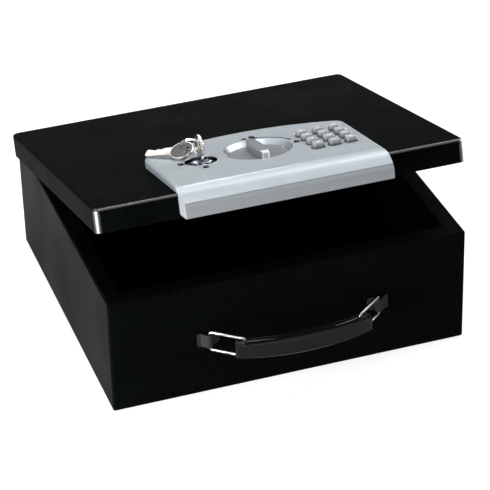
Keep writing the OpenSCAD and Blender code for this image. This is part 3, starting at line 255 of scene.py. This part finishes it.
def lay_over(tree, paint, colour, share):
    """Lays a colour over the paint, by a share that varies over the surface."""
    node = tree.nodes.new("ShaderNodeMixRGB")
    node.inputs[2].default_value = tuple(colour) + (1,)
    tree.links.new(share, node.inputs[0])
    tree.links.new(paint, node.inputs[1])
    return node.outputs[0]


def measure(tree, operation, vector, fixed):
    """The distance or the dot product of a vector and a fixed one."""
    node = tree.nodes.new("ShaderNodeVectorMath")
    node.operation = operation
    node.inputs[1].default_value = fixed
    tree.links.new(vector, node.inputs[0])
    return node.outputs["Value"]


print("helpers for nodes: noise, remap, lay_over, measure")

# %% [markdown]
# ## One helper for every finish
# A tree of nodes could be built by hand for each material, but they are all variations on one. The
# helper lays the zones, the painted shade at a foot, the powder's grains and the edges lightened as
# rubbed wear and painted highlight over the cloudy colour, one after the other, and builds only those
# that a finish asks for.

# %% The finish helper
CLOUD_RANGE, CLOUD_DETAIL = (0.35, 0.65), 6
SHEEN_RANGE = (0.3, 0.7)
POWDER_SCALE, POWDER_RANGE, POWDER_DETAIL = 1700, (0.55, 0.75), 2
GRAIN_DEPTH, GRAIN_DETAIL = 0.0003, 3
ZONE_BLUR = 0.00015
WEAR_AND_HIGHLIGHT_RANGE = (0.995, 0.85)
WEAR_AND_HIGHLIGHT_LIFT, WEAR_AND_HIGHLIGHT_FACTOR = 0.06, 2.2


def finish(name, colour, rough, metal=0.0, gloss=0.5, cloud=0.06, cloud_scale=25.0, grain=0.0,
           grain_scale=900.0, rough_var=0.06, stretch=(1, 1, 1), edge=0.0, edge_width=0.4,
           zones=(), specks=0.0, foot=None):
    """A painted, moulded or metal surface with cloudy colour, uneven gloss, fine grain, and edges lightened
    as rubbed wear and painted highlight.

    zones are (centre, radius, colour): inside that distance the surface takes the other colour.
    specks is how much lighter the finest grains of a powder coat are than the paint round them.
    foot is (point, up, height, colour): painted shade, darkening to that colour from the height down to the
    point.
    """
    mat = bpy.data.materials.new(name)
    mat.use_nodes = True
    tree = mat.node_tree
    link, new = tree.links.new, tree.nodes.new
    shader = tree.nodes["Principled BSDF"]
    shader.inputs["Metallic"].default_value = metal
    shader.inputs["Specular IOR Level"].default_value = gloss
    place = new("ShaderNodeTexCoord").outputs["Object"]
    scale = new("ShaderNodeMapping")
    scale.inputs["Scale"].default_value = stretch
    link(place, scale.inputs["Vector"])
    clouds = noise(tree, scale.outputs["Vector"], cloud_scale, CLOUD_DETAIL)
    tint = new("ShaderNodeValToRGB")
    for stop, position, factor in zip(tint.color_ramp.elements, CLOUD_RANGE, (1 - cloud, 1 + cloud)):
        stop.position = position
        stop.color = tuple(min(1, c * factor) for c in colour) + (1,)
    link(clouds, tint.inputs["Fac"])
    paint = tint.outputs["Color"]
    for centre, radius, other in zones:
        away = measure(tree, "DISTANCE", place, centre)
        inside = remap(tree, away, (radius + ZONE_BLUR, radius - ZONE_BLUR))
        paint = lay_over(tree, paint, other, inside)
    # painted shade: the paint darkens toward a foot, where little light reaches
    if foot:
        ground, upward, reach, painted_shade = foot
        lowest = Vector(ground).dot(upward)
        above = measure(tree, "DOT_PRODUCT", place, upward)
        paint = lay_over(tree, paint, painted_shade, remap(tree, above, (lowest + reach, lowest)))
    if specks:
        powder = noise(tree, place, POWDER_SCALE, POWDER_DETAIL)
        paint = lay_over(tree, paint, [c + specks for c in colour], remap(tree, powder, POWDER_RANGE))
    rounded = new("ShaderNodeBevel")
    rounded.inputs["Radius"].default_value = edge_width * MM
    # the edges' colour is lightened: partly rubbed wear, partly a painted highlight
    if edge:
        bend = new("ShaderNodeVectorMath")
        bend.operation = "DOT_PRODUCT"
        link(rounded.outputs["Normal"], bend.inputs[0])
        link(new("ShaderNodeNewGeometry").outputs["Normal"], bend.inputs[1])
        wear_and_highlight = remap(tree, bend.outputs["Value"], WEAR_AND_HIGHLIGHT_RANGE, (0.0, edge))
        paint = lay_over(tree, paint, [min(1, WEAR_AND_HIGHLIGHT_LIFT + c * WEAR_AND_HIGHLIGHT_FACTOR) for c in colour], wear_and_highlight)
    link(paint, shader.inputs["Base Color"])
    sheen = remap(tree, clouds, SHEEN_RANGE, (rough - rough_var, rough + rough_var))
    link(sheen, shader.inputs["Roughness"])
    normal = rounded.outputs["Normal"]
    if grain:
        bump = new("ShaderNodeBump")
        bump.inputs["Strength"].default_value = grain
        bump.inputs["Distance"].default_value = GRAIN_DEPTH
        link(noise(tree, scale.outputs["Vector"], grain_scale, GRAIN_DETAIL), bump.inputs["Height"])
        link(normal, bump.inputs["Normal"])
        normal = bump.outputs["Normal"]
    link(normal, shader.inputs["Normal"])
    return mat


print("powder grains of", round(1 / POWDER_SCALE / MM, 2), "mm, bumps of", GRAIN_DEPTH / MM, "mm")

# %% [markdown]
# ## Dressing a part
# A CAD mesh arrives in flat facets. Smooth shading hides them on round faces, but it would also melt
# the edges of folded sheet, so those over a set angle stay sharp. Weighted normals let large flat
# faces win over the small bends beside them, which real sheet steel needs to look flat.

# %% The dress helper
CRISP_ANGLE = math.radians(32)
FACE_WEIGHT = 100


def dress(mat, *names):
    """Gives CAD nodes their finish. Rounded faces shade smooth, edges over 32 degrees stay crisp, and
    large flat faces keep their own normal, so no shading creeps over them from the bends beside them."""
    for name in names:
        mesh = nodes[name].data
        mesh.materials.clear()
        mesh.materials.append(mat)
        mesh.shade_smooth()
        mesh.set_sharp_from_angle(angle=CRISP_ANGLE)
        even = nodes[name].modifiers.new("flat_faces_first", "WEIGHTED_NORMAL")
        even.keep_sharp = True
        even.weight = FACE_WEIGHT


print("edges stay crisp over", round(math.degrees(CRISP_ANGLE)), "degrees")

# %% [markdown]
# ## Steel parts
# Body and lid are powder coated: black, with a fine grain and grains of powder a little lighter than
# the rest. One flat black would look like a hole in the picture and a glossy one like glass, so the
# grain breaks up a weak reflection. The lid's coat mirrors less than the body's, since it is seen at a
# grazing angle. Hinge, rivets and brackets have a thinner satin paint, and the parts inside are zinc
# plated or bare steel.

# %% Finishes of the steel parts
BLACK = (0.0013, 0.0021, 0.0019)
POWDER_COAT = dict(cloud=0.25, cloud_scale=18, grain=0.6, grain_scale=1100, edge=0.2, edge_width=0.35,
                   specks=0.012)
black_paint = finish("black_powder_coat", BLACK, 0.36, gloss=0.008, **POWDER_COAT)
bend_paint = finish("black_paint_over_bends", BLACK, 0.27, gloss=0.9, cloud=0.25, cloud_scale=18,
                    grain=0.12, grain_scale=1300)
hinge_paint = finish("black_satin_paint", (0.02, 0.02, 0.021), 0.42, gloss=0.2, grain=0.15, edge=0.3)
bracket_paint = finish("bracket_paint", (0.022, 0.023, 0.023), 0.45, gloss=0.15, grain=0.15,
                       edge=0.5, edge_width=0.3)
zinc = finish("zinc_plate", (0.58, 0.58, 0.56), 0.36, metal=1.0, cloud=0.12, cloud_scale=60, grain=0.1)
rivet_paint = finish("painted_rivet", (0.03, 0.03, 0.031), 0.4, gloss=0.35, grain=0.1)
strap_steel = finish("strap_steel", (0.62, 0.63, 0.64), 0.28, metal=1.0, cloud=0.08, cloud_scale=60,
                     stretch=(0.1, 1, 1), grain=0.1)
lid_paint = finish("black_lid_coat", BLACK, 0.34, gloss=0.002, **POWDER_COAT)
dress(black_paint, "body_shell")
dress(lid_paint, "lid_shell")
dress(hinge_paint, "hinge_body_leaf", "hinge_lid_leaf")
dress(bracket_paint, "handle_bracket_left", "handle_bracket_right")
dress(rivet_paint, "hinge_body_rivets", "hinge_lid_rivets")
dress(zinc, "hinge_pin", "panel_screws", "lid_box_screws", "bolt_guide", "bolt_bar", "spindle",
      "spindle_clip", "solenoid_frame", "solenoid_plunger", "lock_nut", "lock_cam", "lock_cam_screw")
dress(strap_steel, "grip_strap")
print("materials for the steel parts:", len(bpy.data.materials))

# %% [markdown]
# ## Glossy bends
# Powder coat flows thin and smooth over a fold and hands polish it there, so the folds at the front
# of the lid catch the lamps as bright lines while the flat sheet stays dull. They are the faces that
# look forward and are square to none of the lid's own axes, and they take a second, glossier slot.

# %% Glossy paint over the bends
LOOKS_FORWARD = -0.1
SQUARE_ON = 0.99
lid_sheet = nodes["lid_shell"].data
lid_sheet.materials.append(bend_paint)
to_lid = lid_frame.inverted()
polished = 0
for face in lid_sheet.polygons:
    own_normal = to_lid.to_3x3() @ face.normal
    if own_normal.y < LOOKS_FORWARD and max(abs(c) for c in own_normal) < SQUARE_ON:
        face.material_index = 1
        polished += 1
print("bend faces at the lid's front:", polished, "of", len(lid_sheet.polygons))

# %% [markdown]
# ## Moulded parts
# The panel is moulded in plastic and sprayed with a silver paint that holds metal flakes. A full metal
# would mirror the studio and a plain plastic would miss the silver, so the paint is part metallic. The
# knob is a darker silver. The keys are painted darker toward their foot, a painted shade where little
# light gets in between them. The grip has a faint grain along its length, and its edges are painted
# lighter, a painted highlight. The parts under the lid are plain boxes, board, brass, copper wire and
# the wrapped cells.

# %% Finishes of the moulded parts
SILVER = (0.45, 0.502, 0.537)
SPRAYED = dict(gloss=0.5, cloud=0.012, cloud_scale=60, rough_var=0.02, grain=0.02, grain_scale=500,
               edge=0.10)
# painted shade at the keys' foot, where little light gets in between them
KEY_FOOT_PAINTED_SHADE = (on_panel(0, 50, 0.1), panel_up, 0.0034, (0.06, 0.063, 0.066))
silver = finish("silver_paint", SILVER, 0.30, metal=0.2, **SPRAYED)
knob_silver = finish("knob_silver", (0.195, 0.206, 0.213), 0.42, metal=0.15, gloss=0.35, cloud=0.03,
                     grain=0.08, grain_scale=2600, edge=0.25)
key_silver = finish("key_silver", (0.42, 0.445, 0.46), 0.38, metal=0.1, gloss=0.4, cloud=0.03,
                    grain=0.06, grain_scale=2600, edge=0.25, edge_width=0.5, foot=KEY_FOOT_PAINTED_SHADE)
band_grey = finish("band_grey", (0.31, 0.335, 0.355), 0.42, metal=0.1, gloss=0.35, cloud=0.015,
                   cloud_scale=60, rough_var=0.02, grain=0.03, grain_scale=500, edge=0.15)
# the grip's edges are lightened strongly, a painted highlight on its ends besides rubbed wear
grip_black = finish("grip_moulding", (0.006, 0.006, 0.0065), 0.36, gloss=0.17, grain=0.12,
                    grain_scale=900, stretch=(0.06, 1, 1), edge=0.9, edge_width=0.5)
box_black = finish("cover_moulding", (0.012, 0.012, 0.013), 0.5, gloss=0.3, grain=0.25,
                   grain_scale=1200, edge=0.2)
board_green = finish("circuit_board", (0.02, 0.12, 0.04), 0.4, gloss=0.5, cloud=0.2, cloud_scale=120)
mat_grey = finish("switch_mat", (0.06, 0.06, 0.065), 0.7, grain=0.15)
brass = finish("brass", (0.65, 0.48, 0.22), 0.35, metal=1.0, cloud=0.08, grain=0.1)
copper = finish("winding", (0.5, 0.2, 0.07), 0.35, metal=0.8, cloud=0.15, cloud_scale=80,
                grain=0.4, grain_scale=1500)
cell_wrap = finish("battery_wrap", (0.45, 0.30, 0.06), 0.25, gloss=0.6, cloud=0.05)
KEYPAD = tuple("key_" + sign for sign in "1 2 3 4 5 6 7 8 9 left 0 right".split())
dress(silver, "panel_housing")
dress(knob_silver, "knob")
dress(key_silver, *KEYPAD)
dress(grip_black, "grip")
dress(box_black, "lid_box", "battery_tray", "battery_door")
dress(board_green, "keypad_board")
dress(mat_grey, "keypad_mat")
dress(brass, "scroll_cam")
dress(copper, "solenoid_coil")
dress(cell_wrap, "batteries")
print("materials so far:", len(bpy.data.materials), "keys:", len(KEYPAD))

# %% [markdown]
# ## More finishes on one moulding
# The lower part of the panel's nose is painted a darker grey, up to the moulded groove. The well round
# the lock is dark metal, painted near black as painted shade in the recess. The gaps round the keys and
# the knob's two stop windows are painted near black, a painted shade in them. The sloping wall round
# the knob is smoother and more metallic than the top, mirrors the lamps, and its silver is painted
# lighter, a painted highlight. The CAD mesh has edges along all of these, so each is a material slot
# given to the faces inside it.

# %% The slots of the panel's faces
GROOVE_DROP = 4.6
NOSE_FRONT, NOSE_BACK = -19.3, -0.5
LOCK, LOCK_WELL_R = Vector((-49, 58.5)), 13.45
PAD = Vector((56.9, 53.5))
KEY_PITCH = Vector((14.2, 13.2))
COLUMNS_REACH, ROWS_REACH = 1.6, 2.1
KEY_GAP_FLOOR, KEY_GAP_TOP = -3, -0.1
KNOB, DISH_R = Vector((0, 60)), 32
DISH_TILT = (0.1, 0.97)
STOP_WINDOWS, WINDOW_HALF = (147.7, -11.4), 4
WINDOW_R, WINDOW_TOP = 27, -0.9
BELOW_TOP = -0.05
PLAIN, BAND, WELL, GAP_SHADE, DISH = range(5)


def in_stop_window(spot):
    """Whether a point of the panel's frame lies in one of the windows in the wall round the knob."""
    turn = math.degrees(math.atan2(spot.y - KNOB.y, spot.x))
    near = any(abs((turn - a + 180) % 360 - 180) < WINDOW_HALF for a in STOP_WINDOWS)
    return near and spot.z < WINDOW_TOP and (spot.xy - KNOB).length > WINDOW_R


def housing_slot(in_lid, spot, tilt):
    """A face's slot, from its middle in the lid's and the panel's frame and its normal's upward part."""
    in_columns = abs(spot.x - PAD.x) < COLUMNS_REACH * KEY_PITCH.x
    in_rows = abs(spot.y - PAD.y) < ROWS_REACH * KEY_PITCH.y
    if NOSE_FRONT < in_lid.y < NOSE_BACK and in_lid.z < -GROOVE_DROP:
        return BAND
    if (spot.xy - LOCK).length < LOCK_WELL_R and spot.z < BELOW_TOP:
        return WELL
    if in_columns and in_rows and KEY_GAP_FLOOR < spot.z < KEY_GAP_TOP:
        return GAP_SHADE
    if in_stop_window(spot):
        return GAP_SHADE
    if spot.z < BELOW_TOP and (spot.xy - KNOB).length < DISH_R and DISH_TILT[0] < tilt < DISH_TILT[1]:
        return DISH
    return PLAIN


to_panel = panel_frame.inverted()
housing = nodes["panel_housing"].data
# the lock's well is near-black metal, darkened as painted shade in the recess
well_metal_and_shade = finish("lock_well", (0.05, 0.055, 0.065), 0.12, metal=1.0, cloud=0.1, cloud_scale=60,
                   grain=0.03)
# painted shade: the gaps round the keys and the stop windows are painted near black
gap_painted_shade = finish("painted_shade_in_gaps", (0.012, 0.013, 0.014), 0.5, gloss=0.2, grain=0.1)
# painted highlight: the wall round the knob is a lighter silver than the top
dish_silver_painted_light = finish("dish_silver_painted_light", (0.57, 0.65, 0.70), 0.26, metal=0.55, **SPRAYED)
for second in (band_grey, well_metal_and_shade, gap_painted_shade, dish_silver_painted_light):
    housing.materials.append(second)
counts = [0] * 5
for face in housing.polygons:
    slot = housing_slot((to_lid @ face.center) / MM, (to_panel @ face.center) / MM,
                        (to_panel.to_3x3() @ face.normal).z)
    face.material_index = slot
    counts[slot] += 1
print("faces: silver, band, lock well, painted gap shade, dish:", counts)

# %% [markdown]
# ## Painted highlight at the end of the knob's bar
# The bar has a small pocket in its front end. The end and the pocket are painted near white, a painted
# highlight where they face the light. A piece of its own could lie over it, but a second slot on the
# knob's mesh can't stand off or slip. The pocket and the frame round it are picked out by their place
# and by facing forward.

# %% Painted highlight on the end of the knob's bar
BAR_END = 37.5
POCKET_HALF, POCKET_REACH = 2.3, 6
FRAME_HALF, FRAME_REACH, FRAME_FACING = 6, 1.2, -0.2
BAR_FOOT = -3.9
bar = nodes["knob"].data
# painted highlight: the bar's front end and its pocket are painted near white
bar_end_highlight = finish("bar_end_painted_highlight", (0.86, 0.88, 0.89), 0.3, gloss=0.5, grain=0.05)
bar.materials.append(bar_end_highlight)
painted = 0
for face in bar.polygons:
    spot = (to_panel @ face.center) / MM
    own_normal = to_panel.to_3x3() @ face.normal
    in_pocket = abs(spot.x) < POCKET_HALF and spot.y < BAR_END + POCKET_REACH
    in_frame = spot.y < BAR_END + FRAME_REACH and abs(spot.x) < FRAME_HALF and own_normal.y < FRAME_FACING
    if spot.z > BAR_FOOT and (in_pocket or in_frame):
        face.material_index = 1
        painted += 1
print("faces of the pointer:", painted, "of", len(bar.polygons))

# %% [markdown]
# ## Bright parts
# Wires, plug, ring and keys are full metals. What they mirror gives them their contrast, and only tint
# and roughness tell them apart. The handle's wires are plated, and their colour is darkened, a painted
# dark reflection; the lock's plug and the split ring are brighter, and the keys are nickel. The lock's
# face is a dark blued steel inside a lighter raised lip, which is the part of the barrel's mesh that
# stands above the face.

# %% Finishes of the bright parts
NICKEL = (0.70, 0.68, 0.62)
LOCK_FACE = -3.95
chrome = finish("bright_plate", (0.80, 0.81, 0.82), 0.16, metal=1.0, cloud=0.04, cloud_scale=80,
                grain=0.03)
nickel = finish("nickel", NICKEL, 0.26, metal=1.0, cloud=0.08, cloud_scale=120, grain=0.12,
                grain_scale=700, edge=0.3, edge_width=0.2)
# the blued face's edges are lightened, a painted highlight on its raised rims besides rubbed wear
blued = finish("blued_lock_face", (0.035, 0.045, 0.075), 0.14, metal=1.0, cloud=0.15, cloud_scale=90,
               grain=0.05, edge=0.6, edge_width=0.3)
# painted dark reflection: the wires' plating is darkened
wire = finish("bail_wire", (0.42, 0.43, 0.44), 0.13, metal=1.0, cloud=0.08, cloud_scale=80, grain=0.05)
dress(wire, "bail_left", "bail_right")
dress(chrome, "lock_plug", "key_ring")
dress(blued, "lock_barrel")
dress(nickel, "key_in_lock")
barrel = nodes["lock_barrel"].data
lip = finish("lock_lip", (0.20, 0.225, 0.27), 0.14, metal=1.0, cloud=0.1, cloud_scale=90, grain=0.05)
barrel.materials.append(lip)
for face in barrel.polygons:
    if ((to_panel @ face.center) / MM).z > LOCK_FACE:
        face.material_index = 1
print("faces of the lock's lip:", sum(face.material_index for face in barrel.polygons))

# %% [markdown]
# ## The spare key's bow
# The flat of the spare key's bow is painted dark, a painted dark reflection, and only its rim stays
# bright. A slot would follow the mesh's facets, so the shader measures how far a point is from the
# middle of the disc, which draws a clean circle. That middle follows from the ring: the hole hangs at
# the ring's lowest point, and the bow's middle lies a little farther down the key.

# %% Painted dark reflection on the spare key's bow
RING_MIDDLE = Vector((-52, 66.5, 10.5))
RING_DOWN = Vector((-0.4, 0.78, -0.48)).normalized()
RING_R = 9.5
BOW_OFFSET = 4.1
BOW_FLAT_R = 9.4
# painted dark reflection: the flat of the spare key's bow is painted dark
BOW_PAINTED_REFLECTION = (0.085, 0.083, 0.08)
turn, dip = math.radians(141.7), math.radians(5.4)
along_key = Vector((math.cos(turn) * math.cos(dip), math.sin(turn) * math.cos(dip), -math.sin(dip)))
bow_centre = on_panel(*(RING_MIDDLE + RING_R * RING_DOWN + BOW_OFFSET * along_key))
spare_nickel = finish("spare_key_nickel", NICKEL, 0.3, metal=1.0, cloud=0.1, cloud_scale=120,
                      grain=0.12, grain_scale=700, edge=0.3, edge_width=0.2,
                      zones=((tuple(bow_centre), BOW_FLAT_R * MM, BOW_PAINTED_REFLECTION),))
dress(spare_nickel, "spare_key")
print("bow centre", [round(c, 4) for c in bow_centre])
undressed = [name for name, node in nodes.items() if not node.data.materials]
print("materials:", len(bpy.data.materials), "undressed:", undressed)

# %% [markdown]
# ## Print
# Ink is a layer too thin for CAD, so each mark is a closed sliver laid on the surface under it. The
# helper cuts flat outlines into narrow strips, drops every corner straight down onto the CAD mesh that
# carries it, and gives it a thickness, so that the print follows the dished tops of the keys too.

# %% A helper that lays print on a surface
INK = 0.05
WELD = 0.001
DROP_HEIGHT = 12


def print_on(name, carrier, body, shapes, mat, strip=0.8):
    """Lays flat shapes, lists of (x, y) in the panel's frame in mm, on a CAD mesh as thin closed ink."""
    under = nodes[carrier].data
    surface = BVHTree.FromPolygons([v.co for v in under.vertices], [f.vertices for f in under.polygons])
    sliver = bmesh.new()
    for corners in shapes:
        sliver.faces.new([sliver.verts.new((x, y, 0)) for x, y in corners])
    bmesh.ops.remove_doubles(sliver, verts=sliver.verts[:], dist=WELD)
    front, back = (pick(v.co.y for v in sliver.verts) for pick in (min, max))
    for i in range(1, int((back - front) / strip) + 1):
        parts = sliver.verts[:] + sliver.edges[:] + sliver.faces[:]
        bmesh.ops.bisect_plane(sliver, geom=parts, plane_co=(0, front + i * strip, 0), plane_no=(0, 1, 0))
    grown = bmesh.ops.extrude_face_region(sliver, geom=sliver.faces[:])["geom"]
    top = {v for v in grown if isinstance(v, bmesh.types.BMVert)}
    for vert in sliver.verts:
        hit = surface.ray_cast(on_panel(vert.co.x, vert.co.y, DROP_HEIGHT), -panel_up)[0]
        vert.co = hit + panel_up * (INK if vert in top else -INK) * MM
    bmesh.ops.recalc_face_normals(sliver, faces=sliver.faces[:])
    mesh = bpy.data.meshes.new(name)
    sliver.to_mesh(mesh)
    sliver.free()
    mesh.materials.append(mat)
    piece = bpy.data.objects.new(name, mesh)
    bpy.context.scene.collection.objects.link(piece)
    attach(piece, body)


print("ink stands", INK, "mm proud")

# %% [markdown]
# ## Outlines for the marks
# Printed marks are flat, so a list of corners for each piece of them is enough. A curved band is a row
# of quads between two circles, and a padlock is a block, one or two straight legs and half a ring.

# %% Outlines for the marks
BLOCK_HALF, BLOCK_DOWN, BLOCK_UP = 2.4, 4, 0.8
SHACKLE_R, SHACKLE_WIDTH, SHACKLE_RISE, SHACKLE_PARTS = 1.5, 1, 1.6, 10


def on_circle(centre, radius, degrees):
    """A point on a circle in the panel's plane."""
    turn = math.radians(degrees)
    return (centre[0] + radius * math.cos(turn), centre[1] + radius * math.sin(turn))


def arc_strip(centre, radius, width, start, end, parts):
    """A curved band as quads, from start to end in degrees."""
    turns = [start + (end - start) * i / parts for i in range(parts + 1)]
    inner = [on_circle(centre, radius - width / 2, a) for a in turns]
    outer = [on_circle(centre, radius + width / 2, a) for a in turns]
    return [[inner[i], outer[i], outer[i + 1], inner[i + 1]] for i in range(parts)]


def quad(left, right, front, back):
    """A rectangle by its four sides."""
    return [(left, front), (right, front), (right, back), (left, back)]


def padlock(x, y, swung=0.0):
    """A small padlock, its shackle swung sideways by so much when it stands open."""
    block_top, bow_y = y + BLOCK_UP, y + SHACKLE_RISE
    shapes = [quad(x - BLOCK_HALF, x + BLOCK_HALF, y - BLOCK_DOWN, block_top)]
    for side in (-SHACKLE_R, SHACKLE_R) if swung == 0 else (-SHACKLE_R,):
        leg = x + swung + side
        shapes.append(quad(leg - SHACKLE_WIDTH / 2, leg + SHACKLE_WIDTH / 2, block_top, bow_y))
    return shapes + arc_strip((x + swung, bow_y), SHACKLE_R, SHACKLE_WIDTH, 0, 180, SHACKLE_PARTS)


print("quads in a closed padlock:", len(padlock(0, 0)), "and in an open one:", len(padlock(0, 0, 1)))

# %% [markdown]
# ## Marks on the panel
# A thin arc with an arrowhead at each end shows the knob's quarter turn, between a closed and an open
# padlock, and a small triangle stands behind the knob. The key lock has the same two padlocks. An
# image could carry them all, but outlines stay sharp from any distance and need no other file.

# %% Marks on the panel
black_ink = finish("black_ink", (0.003, 0.003, 0.004), 0.6, gloss=0.02, cloud=0.2, cloud_scale=200,
                   grain=0.05)
ARC_R, ARC_WIDTH = 32.4, 1.4
ARC_START, ARC_END, ARC_PARTS = 73, 21, 24
HEAD_HALF, HEAD_TURN = 2, 7
arc = arc_strip(KNOB, ARC_R, ARC_WIDTH, ARC_START, ARC_END, ARC_PARTS)
for foot_turn, way in ((ARC_START, 1), (ARC_END, -1)):
    arc.append([on_circle(KNOB, ARC_R - HEAD_HALF, foot_turn), on_circle(KNOB, ARC_R + HEAD_HALF, foot_turn),
                on_circle(KNOB, ARC_R, foot_turn + way * HEAD_TURN)])
MARKS = (
    ("turn_arc", arc),
    ("knob_pointer_mark", [[(-4, 96), (-0.6, 90.5), (1.6, 96)]]),
    ("knob_locked_mark", padlock(6.3, 96.4)),
    ("knob_open_mark", padlock(33.4, 61.2, swung=0.8)),
    ("lock_locked_mark", padlock(-66.2, 58.6)),
    ("lock_open_mark", padlock(-51.0, 39.2, swung=1.4)),
)
for mark, shapes in MARKS:
    print_on(mark, "panel_housing", "lid", shapes, black_ink)
print("pieces printed on the panel:", len(MARKS))

# %% [markdown]
# ## Numerals on the keys
# The keys carry white numerals, and the two beside the zero a triangle each. Blender's own font gives
# the outlines, as flat triangles that the print helper welds, cuts and lays into the dished tops.

# %% Numerals on the keys
white_ink = finish("white_ink", (0.86, 0.88, 0.88), 0.4, gloss=0.4, cloud=0.03, cloud_scale=300,
                   grain=0.05)
NUMERAL_SIZE = 6.6
NUMERAL_STRIP = 0.6
CURVE_STEPS = 3
TRIANGLE_TIP, TRIANGLE_FOOT, TRIANGLE_HALF = 1.8, 1.4, 2


def glyph(text, x, y):
    """The flat triangles of a character, centred at a point of the panel."""
    curve = bpy.data.curves.new("glyph", "FONT")
    curve.body = text
    curve.size = NUMERAL_SIZE
    curve.resolution_u = CURVE_STEPS
    sign = bpy.data.objects.new("glyph", curve)
    flat = sign.to_mesh()
    corners = [[flat.vertices[i].co.xy.copy() for i in f.vertices] for f in flat.polygons]
    spots = [c for face in corners for c in face]
    middle = Vector([(min(c[i] for c in spots) + max(c[i] for c in spots)) / 2 for i in (0, 1)])
    moved = [[(x + c.x - middle.x, y + c.y - middle.y) for c in face] for face in corners]
    sign.to_mesh_clear()
    bpy.data.objects.remove(sign)
    bpy.data.curves.remove(curve)
    return moved


def triangle(x, y, way):
    """A triangle that points right for a way of 1 and left for -1."""
    foot = x - way * TRIANGLE_FOOT
    return [[(x + way * TRIANGLE_TIP, y), (foot, y + TRIANGLE_HALF), (foot, y - TRIANGLE_HALF)]]


for i, name in enumerate(KEYPAD):
    x, y = PAD.x + (i % 3 - 1) * KEY_PITCH.x, PAD.y + (1.5 - i // 3) * KEY_PITCH.y
    sign = name.split("_")[1]
    if sign in ("left", "right"):
        shapes = triangle(x, y, -1 if sign == "left" else 1)
    else:
        shapes = glyph(sign, x, y)
    print_on(name + "_print", name, name + "_button", shapes, white_ink, strip=NUMERAL_STRIP)
print("printed keys:", len(KEYPAD))
